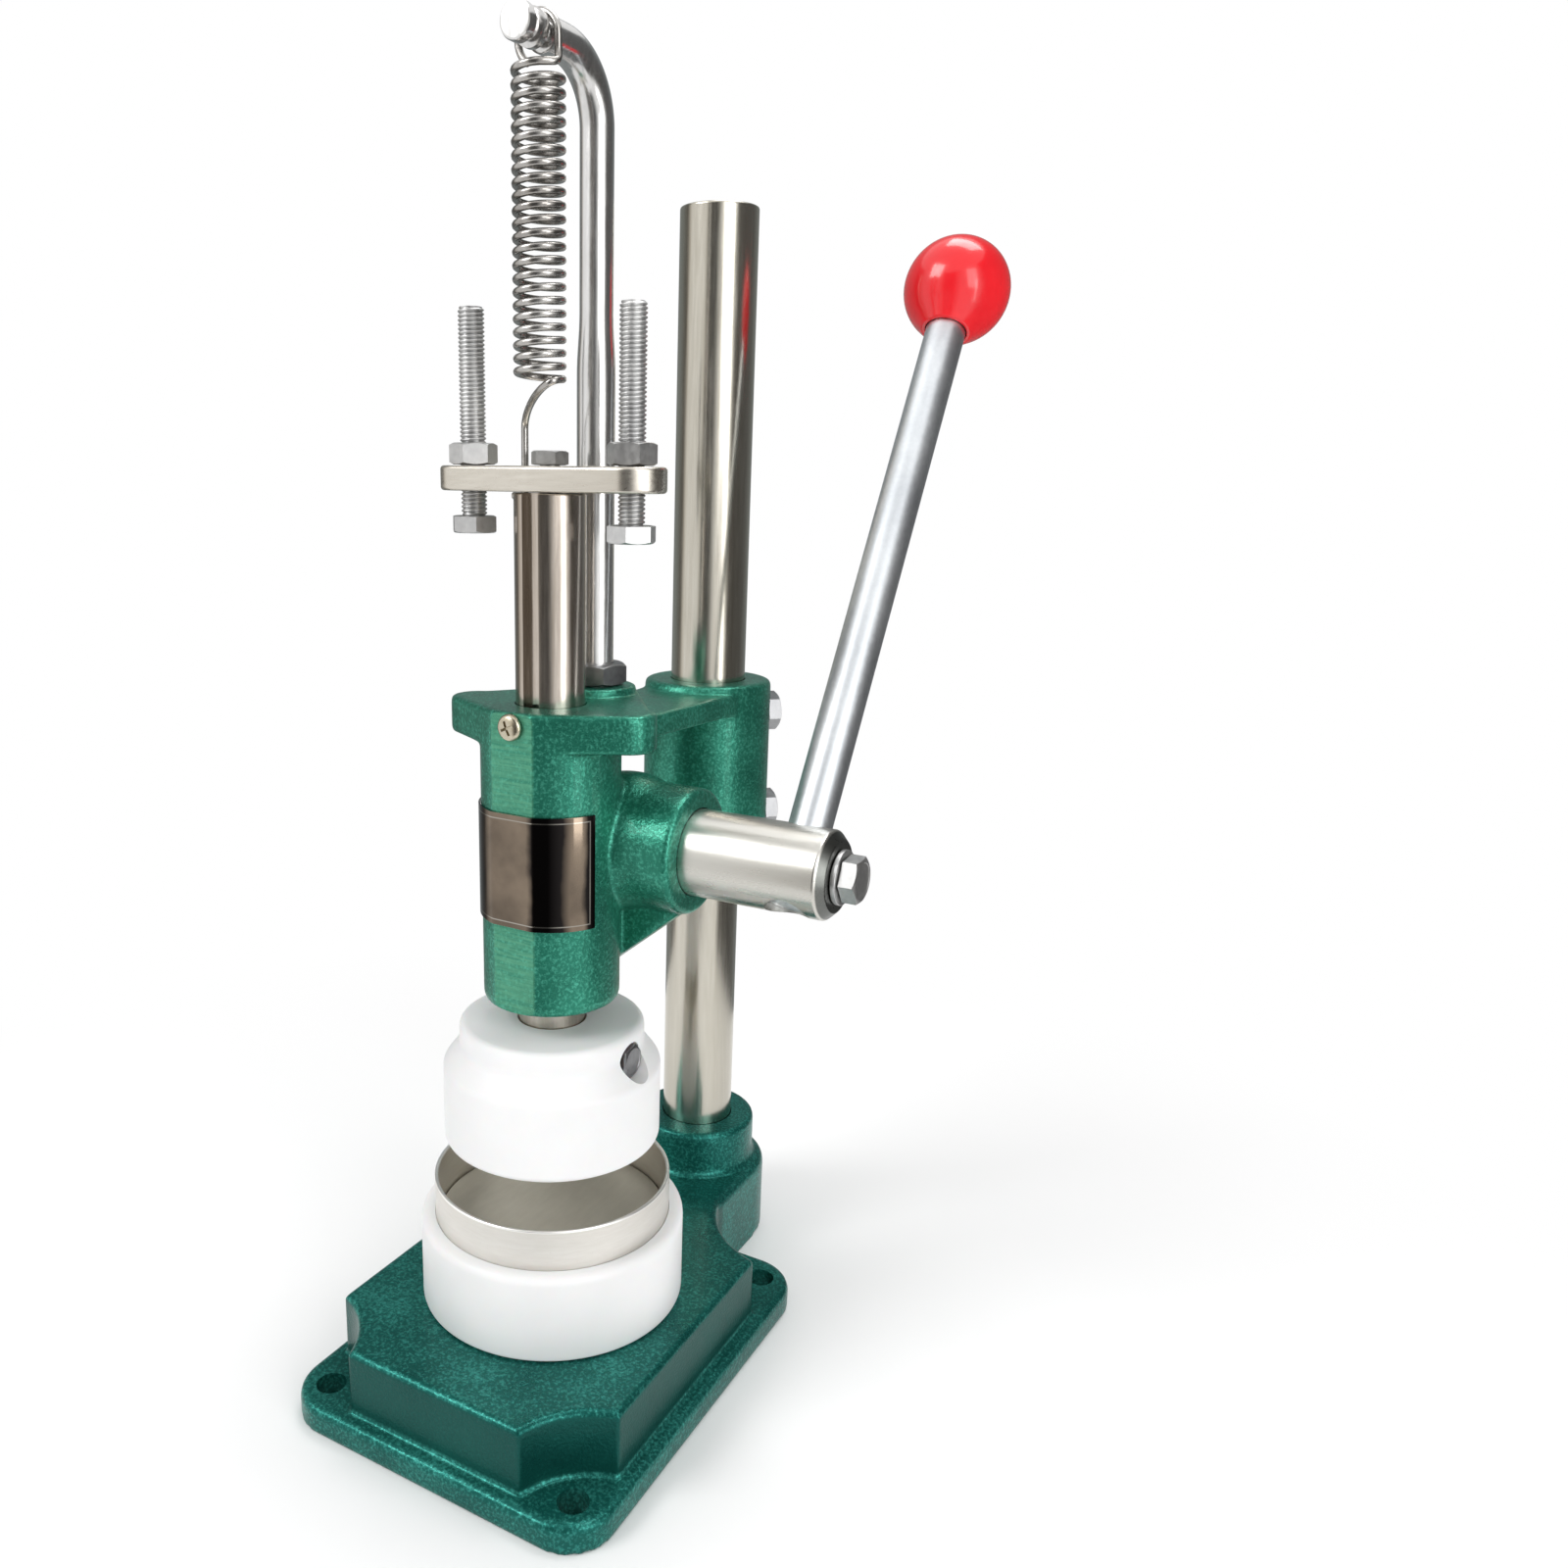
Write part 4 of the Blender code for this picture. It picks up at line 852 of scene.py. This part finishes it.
def clamp_places():
    """The two clamp bolts: their node, the column's middle at their height, their way out and their seat."""
    direction = Vector((math.sin(math.radians(45)), math.cos(math.radians(45)), 0))
    seat = math.sqrt(rear_radius ** 2 - (m8_flats * 0.62) ** 2) + gap
    for node in ("head_set_bolt_upper", "head_set_bolt_lower"):
        yield node, Vector((0, column_y, Extent(node).middle.z)), direction, seat


def make_head():
    head = cast("head", head_forms(), voxel=0.7)
    low, high = head_box.low.z, head_box.high.z
    shaft_bore = drill(shaft_radius + gap, pinion_barrel_left - 5, pinion_barrel_right + 5, 128)
    tools = [
        drill(ram_box.size.x / 2 + gap, low - 5, high + 5, 128).at(y=ram_y),
        drill(rod_radius + gap, high - 17, high + 5).at(y=rod_y),
        drill(column_radius + gap, rear_low - 5, rear_high + 5, 128).at(y=column_y),
        shaft_bore.along((0, pinion_y, pinion_z), (1, 0, 0)),
        box_form((-30.0, facet_y - 11.2, low - 5), (30.0, facet_y, high + 5)),
        drill(guide_bore_radius, 0.0, 30.0, 48).along((0, ram_y, guide_box.middle.z), (0, -1, 0)),
    ]
    for _, centre, direction, seat in clamp_places():
        tools.append(drill(spot_face_radius, seat - gap, seat + 12.0).along(centre, direction))
    cut(head, tools)
    dress(head, paint, "head", ["head_casting"], "green_paint", 40.0)


# Fasteners

# Bolts, as the width across flats, the height of the head and the radius of the shank
m8 = m8_flats, m8_head, m8_radius = 13.0, 5.3, 4.0
m6_radius = 3.0
m6 = (10.0, 4.2, m6_radius)


def hexagon(flats, height, sides=96):
    points = []
    for step in range(sides):
        angle = TURN * step / sides
        off_flat = angle % (math.pi / 3) - math.pi / 6
        points.append(Vector((math.cos(angle), math.sin(angle), 0)) * (flats / 2 / math.cos(off_flat))
                      + Vector((0, 0, height)))
    return points


def chamfered(flats, height, share=0.95, slope=0.5):
    """A hexagon ring whose corners drop away from a chamfer circle; slope below zero turns it over."""
    ring = []
    for point in hexagon(flats, height):
        reach = point.xy.length - flats / 2 * share
        ring.append(point - Vector((0, 0, max(reach, 0) * slope)))
    return ring


def hex_head(flats, height):
    """A hexagon head on its seat at zero, chamfered above, with a shallow washer face below."""
    inner = flats / 2 * 0.95
    dish = height - 0.15
    return loft([circle(inner * 0.97, 0.0), hexagon(flats, 0.25), chamfered(flats, height),
                 circle(inner, height), circle(inner * 0.90, height), circle(inner * 0.86, dish),
                 circle(0.3, dish)])


def hex_bolt(size, length):
    """A bolt with its seat at zero, its head above and its shank below."""
    flats, height, radius = size
    return hex_head(flats, height) + drill(radius, -length, 0.2, 48)


def threaded(radius, low, high, pitch):
    """A screw thread about Z between two heights, which fades at its ends."""
    depth = pitch * 0.55
    sides = 28
    rings = []
    rows = int((high - low) / pitch * 6)
    for row in range(rows + 1):
        level = low + (high - low) * row / rows
        taper = min(1.0, (level - low) / pitch + 0.3, (high - level) / pitch + 0.3)
        ring = []
        for step in range(sides):
            phase = (level / pitch - step / sides) % 1.0
            ridge = min(abs(2 * phase - 1) * 1.4, 1.0)
            reach = radius - depth + depth * ridge * taper
            angle = TURN * step / sides
            ring.append(Vector((reach * math.cos(angle), reach * math.sin(angle), level)))
        rings.append(ring)
    return loft(rings)


def hex_nut(flats, height, bore):
    inner = flats / 2 * 0.95
    return loft([circle(bore + 0.5, 0.0), circle(inner, 0.0), chamfered(flats, 0.0, slope=-0.5),
                 chamfered(flats, height), circle(inner, height), circle(bore + 0.5, height),
                 circle(bore, height - 0.5), circle(bore, 0.5)], hollow=True)


def washer(radius, bore, thickness):
    start = (bore, thickness / 2, 0)
    profile = softened([start, (bore, 0, 0.1), (radius, 0, 0.3), (radius, thickness, 0.3),
                        (bore, thickness, 0.3), start])
    return turned(profile[:-1], 96, hollow=True)


def make_clamp_bolts():
    for node, centre, direction, seat in clamp_places():
        bolt = hex_bolt(m8, seat - column_radius - gap).along(centre + direction * seat, direction, 0.3)
        piece(node + "_hex", bolt, dull_zinc, "head", [node], "zinc_plate")


def make_guide_screw():
    """A pan head screw with a cross recess."""
    radius = guide_box.size.x / 2
    place = ((0, facet_y - gap, guide_box.middle.z), (0, -1, 0))
    pan = lathe([(2.5, -9.0, 0), (2.5, 0, 0), (radius, 0, 0.3), (radius, 1.3, 1.0),
                 (radius * 0.55, 2.2, 1.2), (0.4, 2.3, 0)], 64)
    screw = scene_object("guide_screw_pan", pan.along(*place))
    recess = box_form((-2.3, -0.42, 0.7), (2.3, 0.42, 4.0))
    cut(screw, [recess.along(*place, spin) for spin in (0.4, 0.4 + math.pi / 2)])
    dress(screw, nickel, "head", ["guide_screw"], "brass_plate")


name_plate_thickness = 0.5


def make_name_plate():
    steps = 64
    face = barrel_radius - facet_depth

    def wrapped(lift):
        """An arc round the barrel at a height over it, flat in front of the barrel's facet."""
        points = []
        for step in range(steps + 1):
            angle = name_plate_half_angle * (2 * step / steps - 1)
            reach = barrel_radius + lift
            points.append((reach * math.sin(angle), ram_y - min(reach * math.cos(angle), face + lift)))
        return points

    def outline(inset):
        return wrapped(gap + name_plate_thickness - inset) + wrapped(gap)[::-1]

    blank = slab(outline, name_plate_box.low.z, name_plate_box.high.z, 0.15, 0.15, 2)
    piece("plate_blank", blank, plate_black, "head", ["name_plate"], "black_plate")


# Rack, pinion and lever

shaft_radius = shaft_box.size.y / 2
hub_end = shaft_box.high.x
hub_chamfer = 2.8
hub_bolt_spin = 0.08
lever_lean = math.radians(33)
lever_direction = Vector((0, math.sin(lever_lean), math.cos(lever_lean)))
lever_x = lever_box.middle.x
lever_radius = lever_box.size.x / 2
lever_origin = Vector((lever_x, pinion_y, pinion_z))
knob_radius = knob_box.size.x / 2
knob_taper_angle = math.radians(44.4)
knob_rim_radius = 8.3
lever_length = (knob_box.high.y - knob_radius - pinion_y) / math.sin(lever_lean)
gear_module = 2.0
gear_teeth = 12
gear_backlash = 0.28
tooth_dedendum = 2.5
root_fill = 0.4
gear_left, gear_right = -10.2, 10.6
journal_right = -10.3
hub_left = 10.7
gear_half_width = 13.0
pressure_angle = math.radians(20)
end_washer_radius = 16.5
end_washer_thickness = 2.5
set_washer_radius = 8.5
set_washer_thickness = 1.6
washer_bore = m8_radius + gap


def gear_outline(steps=4):
    """The pinion's teeth as (y, z) points, involute above the base circle."""
    pitch = gear_module * gear_teeth / 2
    base = pitch * math.cos(pressure_angle)
    tip = shaft_radius
    root = pitch - tooth_dedendum + root_fill

    def swing(radius):
        opened = math.acos(base / max(radius, base))
        return math.tan(pressure_angle) - pressure_angle - math.tan(opened) + opened

    def at(reach, angle):
        return (reach * math.cos(angle), reach * math.sin(angle))

    half = math.pi / 2 / gear_teeth - gear_backlash / pitch
    reaches = [root] + [base + (tip - base) * step / steps for step in range(steps + 1)]
    flank = [(reach, half + swing(reach)) for reach in reaches]
    points = []
    for tooth in range(gear_teeth):
        middle = TURN * tooth / gear_teeth + math.pi
        points += [at(reach, middle - turn) for reach, turn in flank]
        points += [at(reach, middle + turn) for reach, turn in flank[::-1]]
    return points


def make_shaft():
    origin = (0, pinion_y, pinion_z)
    hub = lathe([
        (shaft_radius - 4.0, hub_left, 0), (shaft_radius, hub_left, 0.4),
        (shaft_radius, hub_end - hub_chamfer, 0.5),
        (shaft_radius - hub_chamfer, hub_end, 0.4), (4.3, hub_end, 0),
    ], 160).along(origin, (1, 0, 0))
    shaft = scene_object("hub_shaft", hub)
    cut(shaft, [drill(lever_radius + gap, -30.0, 30.0, 96).along(lever_origin, lever_direction)])
    dress(shaft, hub_steel, "lever", ["pinion_shaft"], "polished_steel")
    gear = prism([(pinion_y + y, pinion_z + z) for y, z in gear_outline()],
                 gear_left, gear_right)
    journal = drill(shaft_radius, shaft_box.low.x, journal_right, 96).along(origin, (1, 0, 0))
    piece("pinion_teeth", gear + journal, ram_steel, "lever", [], "polished_steel")


def make_lever():
    low = -11.5
    high = lever_length - knob_radius + 12.7
    bar = lathe([
        (lever_radius - 1.5, low, 0), (lever_radius, low, 0.8), (lever_radius, high, 0.8),
        (lever_radius - 1.5, high, 0),
    ], 72).along(lever_origin, lever_direction)
    piece("lever_bar", bar, satin_silver, "lever", ["lever_rod"], "satin_grey")

    def on_ball(angle):
        return (knob_radius * math.sin(angle), -knob_radius * math.cos(angle))

    start = knob_taper_angle
    edge = on_ball(start)
    rim = edge[1] - (edge[0] - knob_rim_radius) * math.tan(start)
    ball = softened([(lever_radius + gap, -knob_radius + 13.0, 0), (lever_radius + gap, rim, 0.3),
                     (knob_rim_radius, rim, 0.5), (*edge, 0)])
    steps = 49
    ball += [on_ball(start + (math.pi - start) * step / steps) for step in range(1, steps)]
    ball.append((0.2, knob_radius))
    knob = turned(ball, 96).along(lever_origin + lever_direction * lever_length, lever_direction)
    piece("knob_ball", knob, knob_red, "lever", ["lever_knob"], "red_plastic")


def make_lever_fasteners():
    place = Vector((hub_end + gap, pinion_y, pinion_z))
    ring = washer(set_washer_radius, washer_bore, set_washer_thickness).along(place, (1, 0, 0))
    seat = place + Vector((set_washer_thickness + gap, 0, 0))
    bolt = hex_bolt(m8, seat.x - lever_x - lever_radius - gap).along(seat, (1, 0, 0), hub_bolt_spin)
    left = Vector((shaft_box.low.x - gap, pinion_y, pinion_z))
    disc = washer(end_washer_radius, washer_bore, end_washer_thickness).along(left, (-1, 0, 0))
    screw = hex_bolt(m8, 15.0).along(left - Vector((end_washer_thickness + gap, 0, 0)), (-1, 0, 0))
    for name, form, node in (("hub_washer", ring, "lever_set_washer"), ("hub_bolt", bolt, "lever_set_bolt"),
                             ("end_disc", disc, "pinion_end_washer"), ("end_hex", screw, "pinion_end_screw")):
        piece(name, form, zinc, "lever", [node], "zinc_plate")


# Ram and what it carries

keyway_half = 2.9
rack_teeth = 11
rack_low = 178.0
rack_flat_depth = 1.0
rack_root_depth = 3.7


def make_ram():
    """The ram, with its keyway in front and the rack that meshes with the pinion behind."""
    radius = ram_box.size.x / 2
    low, high = ram_box.low.z, ram_box.high.z
    bar = scene_object("ram_bar", lathe([
        (radius - 2.0, low, 0), (radius, low, 0.7), (radius, high, 0.7), (radius - 3.0, high, 0),
    ]).at(y=ram_y))
    keyway_foot = guide_box.middle.z - 2.8
    tools = [box_form((-keyway_half, ram_y - radius - 3.0, keyway_foot),
                      (keyway_half, ram_y - radius + 3.0, high + 3.0))]
    pitch = math.pi * gear_module
    slope = math.tan(pressure_angle)
    first = math.floor((rack_low - pinion_z) / pitch)
    flat_y = ram_y + radius - rack_flat_depth
    root_y = flat_y - rack_root_depth
    back_y = flat_y + 3.0
    half_root = pitch / 4 + gear_backlash - tooth_dedendum * slope
    half_tip = half_root + (back_y - root_y) * slope
    for tooth in range(rack_teeth):
        height = pinion_z + (first + tooth) * pitch
        tools.append(prism([(root_y, height - half_root), (back_y, height - half_tip),
                            (back_y, height + half_tip), (root_y, height + half_root)],
                           -gear_half_width, gear_half_width))
    foot = pinion_z + (first - 0.5) * pitch
    tools.append(box_form((-gear_half_width, flat_y, foot),
                          (gear_half_width, flat_y + 5.0, foot + rack_teeth * pitch)))
    cut(bar, tools)
    dress(bar, ram_steel, "press_ram", ["ram"], "polished_steel", 25.0)


hook_x = -11.9
hook_y = ram_y + 3.9
plate_end_radius = 10.3
plate_middle_radius = 13.0
plate_edge = 1.1
thread_pitch = 1.25


def make_stop_plate():
    low, high = stop_plate_box.low.z, stop_plate_box.high.z
    outline = band([(-stop_reach, ram_y, plate_end_radius), (0, ram_y, plate_middle_radius),
                    (stop_reach, ram_y, plate_end_radius)])
    plate = scene_object("stop_bar", slab(outline, low, high, plate_edge, plate_edge))
    holes = [(-stop_reach, ram_y, m8_radius + gap), (stop_reach, ram_y, m8_radius + gap),
             (0, ram_y, m6_radius + gap), (hook_x, hook_y, 2.0)]
    cut(plate, [drill(radius, low - 3, high + 3, 48).at(x, y) for x, y, radius in holes])
    dress(plate, plate_steel, "press_ram", ["stop_plate"], "brushed_steel", 25.0)
    bolt = hex_bolt(m6, 20.0).placed(Matrix.Rotation(0.35, 4, "Z")).at(0, ram_y, high + gap)
    piece("plate_hex", bolt, zinc, "press_ram", ["stop_plate_bolt"], "zinc_plate")


def make_stop_bolts():
    high = stop_plate_box.high.z
    for side, word in ((-1, "left"), (1, "right")):
        extent = Extent("stop_bolt_" + word)
        seat = extent.low.z + m8_head
        turn = Matrix.Rotation(math.pi, 4, "X") @ Matrix.Rotation(0.2 * side, 4, "Z")
        head = hex_head(m8_flats, m8_head).placed(turn).at(z=seat)
        shank = threaded(m8_radius, seat - 0.2, extent.high.z, thread_pitch)
        piece("depth_bolt_" + word, (head + shank).at(side * stop_reach, ram_y), zinc, "press_ram",
              ["stop_bolt_" + word], "zinc_plate", 50.0)
        nut = hex_nut(m8_flats, 6.5, m8_radius + 0.15).placed(Matrix.Rotation(0.3 * side, 4, "Z"))
        piece("depth_nut_" + word, nut.at(side * stop_reach, ram_y, high + gap), zinc, "press_ram",
              ["stop_nut_" + word], "zinc_plate")


def make_upper_die():
    """The die's body and its upper step, with a bored recess for its bolt."""
    radius = upper_die_box.size.x / 2
    step_radius = 30.7
    low, high = upper_die_box.low.z, upper_die_box.high.z
    shoulder, neck = low + 26.2, low + 33.4
    bore, bore_floor = ram_box.size.x / 2 + gap, ram_box.low.z - gap
    block = scene_object("upper_die_block", lathe([
        (4.0, low, 0), (radius, low, 2.0), (radius, shoulder, 1.3), (step_radius, neck, 1.6),
        (step_radius, high, 2.8), (bore, high, 0.4), (bore, bore_floor, 0), (1.0, bore_floor, 0),
    ], 160, 6).at(y=ram_y))
    bolt_z = Extent("upper_die_set_bolt").middle.z
    seat = step_radius - 3.6
    recess, thread = drill(6.2, seat, 50.0), drill(m6_radius + gap, 5.0, 50.0, 48)
    cut(block, [tool.along((0, ram_y, bolt_z), (1, 0, 0)) for tool in (recess, thread)])
    dress(block, white_nylon, "press_ram", ["upper_die"], "white_nylon", 35.0)
    bolt = hex_bolt(m6, seat - ram_box.size.x / 2 - gap).along((seat + gap, ram_y, bolt_z), (1, 0, 0), 0.2)
    piece("die_hex", bolt, dull_zinc, "press_ram", ["upper_die_set_bolt"], "zinc_plate")


# Spring and its rod

rod_radius = 6.0
rod_upper_radius = 5.2
arm_z = rod_box.high.z - rod_upper_radius
bend_radius = 18.5
rod_front = rod_box.low.y
groove_radius = 3.5
groove_width = 3.4
collar_width = 2.6
end_width = 3.4
taper_low = 336.0
taper_length = 18.0


def make_spring_rod():
    """The bent rod, drawn thinner above its taper, with two grooves near its end."""
    points = []
    radii = []

    def station(x, y, z, radius):
        points.append(Vector((x, y, z)))
        radii.append(radius)

    station(0, rod_y, rod_box.low.z, rod_radius - 0.6)
    station(0, rod_y, rod_box.low.z + 0.6, rod_radius)
    taper_steps = 8
    for step in range(taper_steps + 1):
        share = step / taper_steps
        eased = share * share * (3 - 2 * share)
        radius = rod_radius + (rod_upper_radius - rod_radius) * eased
        station(0, rod_y, taper_low + taper_length * share, radius)
    for y, z in arc((rod_y - bend_radius, arm_z - bend_radius), bend_radius, 0, math.pi / 2, 24):
        station(0, y, z, rod_upper_radius)
    front = rod_front + end_width
    second = front + groove_width + collar_width
    thick_to_thin, thin_to_thick = (rod_upper_radius, groove_radius), (groove_radius, rod_upper_radius)
    for place in (second, front):
        for y, (before, after) in ((place + groove_width, thick_to_thin), (place, thin_to_thick)):
            station(0, y + 0.35, arm_z, before)
            station(0, y, arm_z, before + (after - before) * 0.3)
            station(0, y - 0.3, arm_z, after)
    station(0, rod_front + 0.7, arm_z, rod_upper_radius)
    station(0, rod_front + 0.2, arm_z, rod_upper_radius - 0.25)
    station(0, rod_front, arm_z, rod_upper_radius - 0.8)
    piece("spring_arm", swept(points, radii, 64), rod_steel, "head", ["spring_rod"], "polished_steel")
    nut = hex_nut(18.5, 6.8, rod_radius + 0.15).placed(Matrix.Rotation(0.3, 4, "Z"))
    piece("arm_nut", nut.at(0, rod_y, rod_nut_box.low.z), dull_zinc, "head", ["spring_rod_nut"], "zinc_plate")


wire_radius = 1.1
coil_radius = 6.7
coil_count = 23
coil_pitch = 3.6
coil_low = stop_plate_box.high.z + 24.3
coil_points = 28
tail_straight = 11.0
hook_bend = 1.8
toe_length = 4.5
spring_y = rod_front + end_width + 1.5 * groove_width + collar_width
loop_z = arm_z + groove_radius + gap + wire_radius - coil_radius


def spring_path():
    """The wire from its loop in the rod's groove, down the coils, to its hook through the stop plate."""
    path = [Vector((x, 0, z)) for x, z in arc((0, loop_z), coil_radius, math.radians(240), 0, 30)]

    def coil(step):
        angle = -TURN * step / coil_points
        return Vector((coil_radius * math.cos(angle), coil_radius * math.sin(angle),
                       coil_low + coil_pitch * (coil_count - step / coil_points)))

    coils = [coil(step) for step in range(3, coil_count * coil_points + 1)]
    heading = coils[0] + (coils[0] - coils[1]) * 3
    above = Vector((coil_radius, 0, coils[0].z))
    path += interpolate_bezier(path[-1], above, heading, coils[0], 12)[1:-1] + coils
    plate_high, plate_low = stop_plate_box.high.z, stop_plate_box.low.z
    y = hook_y - spring_y
    down = Vector((hook_x, y, plate_high + tail_straight))
    pull = coils[-1] + (coils[-1] - coils[-2]) * 7
    path += interpolate_bezier(coils[-1], pull, down + Vector((0, 0, coil_radius)), down, 24)[1:]
    toe_z = plate_low - gap - wire_radius
    path += [Vector((hook_x, y, plate_high)), Vector((hook_x, y, plate_low))]
    path += [Vector((x, y, z)) for x, z in
             arc((hook_x - hook_bend, toe_z + hook_bend), hook_bend, 0, -math.pi / 2, 8)]
    path.append(Vector((hook_x - toe_length, y, toe_z)))
    return [point + Vector((0, spring_y, 0)) for point in path]


def make_spring():
    """The spring, wound from its loop on the arm down to the stop plate."""
    path = spring_path()
    wire = swept(path, [wire_radius] * len(path), 14)
    spring = piece("spring_wire", wire, spring_steel, None, ["return_spring"], "polished_steel", 60.0)
    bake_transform(spring)


# Stage, lights and camera

floor_reach = 9000.0
floor_level = -0.05
shadow_fades_from, shadow_fades_to = 0.16, 0.42
ambient = 0.50


def background_rays(tree):
    """Where a ray comes from the camera, or reflects or passes on to the background."""
    camera, glossy, through = [Field(tree).node("ShaderNodeLightPath", {}, {}, "Is " + kind + " Ray")
                               for kind in ("Camera", "Glossy", "Transmission")]
    return camera.maths("MAXIMUM", camera, glossy.maths("MAXIMUM", glossy, through))


def make_stage():
    corners = ((-1, -1), (1, -1), (1, 1), (-1, 1))
    floor = scene_object("floor", Form([(x * floor_reach, y * floor_reach, floor_level) for x, y in corners],
                                       [[0, 1, 2, 3]]))
    paper = Finish("floor_paper", base_color=(0.93, 0.93, 0.93, 1), roughness=0.9, specular_ior_level=0.1)
    here = paper.place
    reach = here.node("ShaderNodeVectorMath", {"operation": "LENGTH"}, {0: here}, 1)
    share = paper.clipped(reach, shadow_fades_from, shadow_fades_to) * background_rays(paper.tree)
    glow = here.node("ShaderNodeEmission", {}, {"Color": (1, 1, 1, 1), "Strength": 1.0})
    sheet = Field(paper.tree, paper.shader.outputs["BSDF"])
    paper.show(floor, here.node("ShaderNodeMixShader", {}, {0: share, 1: sheet, 2: glow}))


def make_world():
    """White where the camera or a reflection sees it, and softer where it lights the object."""
    world = bpy.data.worlds.new("studio")
    world.use_nodes = True
    tree = world.node_tree
    background = tree.nodes["Background"]
    strength = background_rays(tree) * (1.0 - ambient) + ambient
    tree.links.new(strength.socket, background.inputs["Strength"])
    background.inputs["Color"].default_value = (1, 1, 1, 1)
    bpy.context.scene.world = world


def add_light(name, place, size, power):
    """A rectangular lamp aimed at the middle of the press."""
    light = bpy.data.lights.new(name, "AREA")
    light.shape = "RECTANGLE"
    light.size, light.size_y = size
    light.energy = power
    item = linked(name, light)
    item.location = place
    item.rotation_euler = (Vector((0, 0, 0.2)) - Vector(place)).to_track_quat("-Z", "Y").to_euler()


# Dark cards round the set, seen only in reflections.
# Each stop is a bearing in degrees to the right of the camera, with the card's colour there.
dim_grey = (0.26, 0.28, 0.28)
warm_white = (1.0, 0.97, 0.92)
dark_cards = {
    "left_card": ((-180, dim_grey), (-150, dim_grey), (-122, (0.14, 0.13, 0.12)), (-106, warm_white)),
    "front_card": ((-44, warm_white), (-30, (0.12, 0.115, 0.11)), (-2, (0.11, 0.11, 0.11)),
                   (18, (1.0, 1.0, 0.99))),
    "right_card": ((58, (1.0, 1.0, 0.98)), (70, (0.10, 0.095, 0.09)), (120, (0.12, 0.12, 0.12)),
                   (150, dim_grey), (180, dim_grey)),
}
card_radius = 320.0
card_height = 620.0


def make_dark_card(name, stops, steps=40):
    """A curved card that stands round the set and fades to the white of the studio at its open ends."""
    first, last = stops[0][0], stops[-1][0]
    towards_camera = camera_yaw - TURN / 4
    points, faces = [], []
    for x, y in arc((0, 0), card_radius, towards_camera + math.radians(first),
                    towards_camera + math.radians(last), steps):
        points += [(x, y, z) for z in (1.0, card_height)]
    for step in range(steps):
        faces.append([2 * step, 2 * step + 2, 2 * step + 3, 2 * step + 1])
    card = scene_object(name, Form(points, faces))
    finish = Finish(name)
    here = finish.place
    x, y = [here.node("ShaderNodeSeparateXYZ", {}, {0: here}, output) for output in range(2)]
    middle = towards_camera + math.radians((first + last) / 2)
    along = x * math.cos(middle) + y * math.sin(middle)
    across = y * math.cos(middle) - x * math.sin(middle)
    share = here.maths("ARCTAN2", across, along) / math.radians(last - first) + 0.5
    ramp = [((degrees - first) / (last - first), colour) for degrees, colour in stops]
    for kind in ("camera", "diffuse", "shadow", "transmission"):
        setattr(card, "visible_" + kind, False)
    finish.show(card, here.node("ShaderNodeEmission", {}, {"Color": finish.ramp(share, ramp)}))


def make_lights():
    add_light("key", (-0.9, -1.3, 1.5), (0.9, 0.9), 18.0)
    add_light("strip", (0.68, -0.17, 0.25), (0.18, 0.60), 1.0)
    add_light("fill", (1.4, -0.9, 0.9), (0.8, 1.2), 8.0)
    add_light("top", (0.1, 0.5, 1.7), (1.0, 0.6), 10.0)


# Fitted to the photograph: focal length and centre in its pixels
photo_side = 1600.0
focal_pixels = 1304.78
centre_pixels = (643.89, 807.64)
camera_place = Vector((224.395, -330.173, 305.838))
camera_yaw = math.radians(30.85)
camera_drop = math.radians(13.89)
camera_roll = math.radians(0.65)


def make_camera():
    level = Vector((math.cos(camera_yaw), math.sin(camera_yaw), 0))
    ahead = Vector((-math.sin(camera_yaw), math.cos(camera_yaw), 0))
    forward = ahead * math.cos(camera_drop) - Vector((0, 0, math.sin(camera_drop)))
    upward = level.cross(forward)
    right = level * math.cos(camera_roll) + upward * math.sin(camera_roll)
    up = upward * math.cos(camera_roll) - level * math.sin(camera_roll)
    camera = bpy.data.cameras.new("camera")
    camera.sensor_width = 36.0
    camera.lens = focal_pixels / photo_side * camera.sensor_width
    camera.shift_x = (photo_side / 2 - centre_pixels[0]) / photo_side
    camera.shift_y = (centre_pixels[1] - photo_side / 2) / photo_side
    camera.clip_start = 0.01
    item = linked("camera", camera)
    turn = Matrix((right, up, -forward)).transposed().to_4x4()
    item.matrix_world = Matrix.Translation(camera_place * METRES) @ turn
    bpy.context.scene.camera = item


for make in (make_base, make_column, make_lower_die, make_forming_plate, make_tart_ring, make_head,
             make_clamp_bolts, make_guide_screw, make_name_plate, make_shaft, make_lever,
             make_lever_fasteners, make_ram, make_stop_plate, make_stop_bolts, make_upper_die,
             make_spring_rod, make_spring, make_stage, make_world):
    make()
for card_name, card_stops in dark_cards.items():
    make_dark_card(card_name, card_stops)
make_lights()
make_camera()
bpy.context.scene.view_settings.view_transform = "Standard"
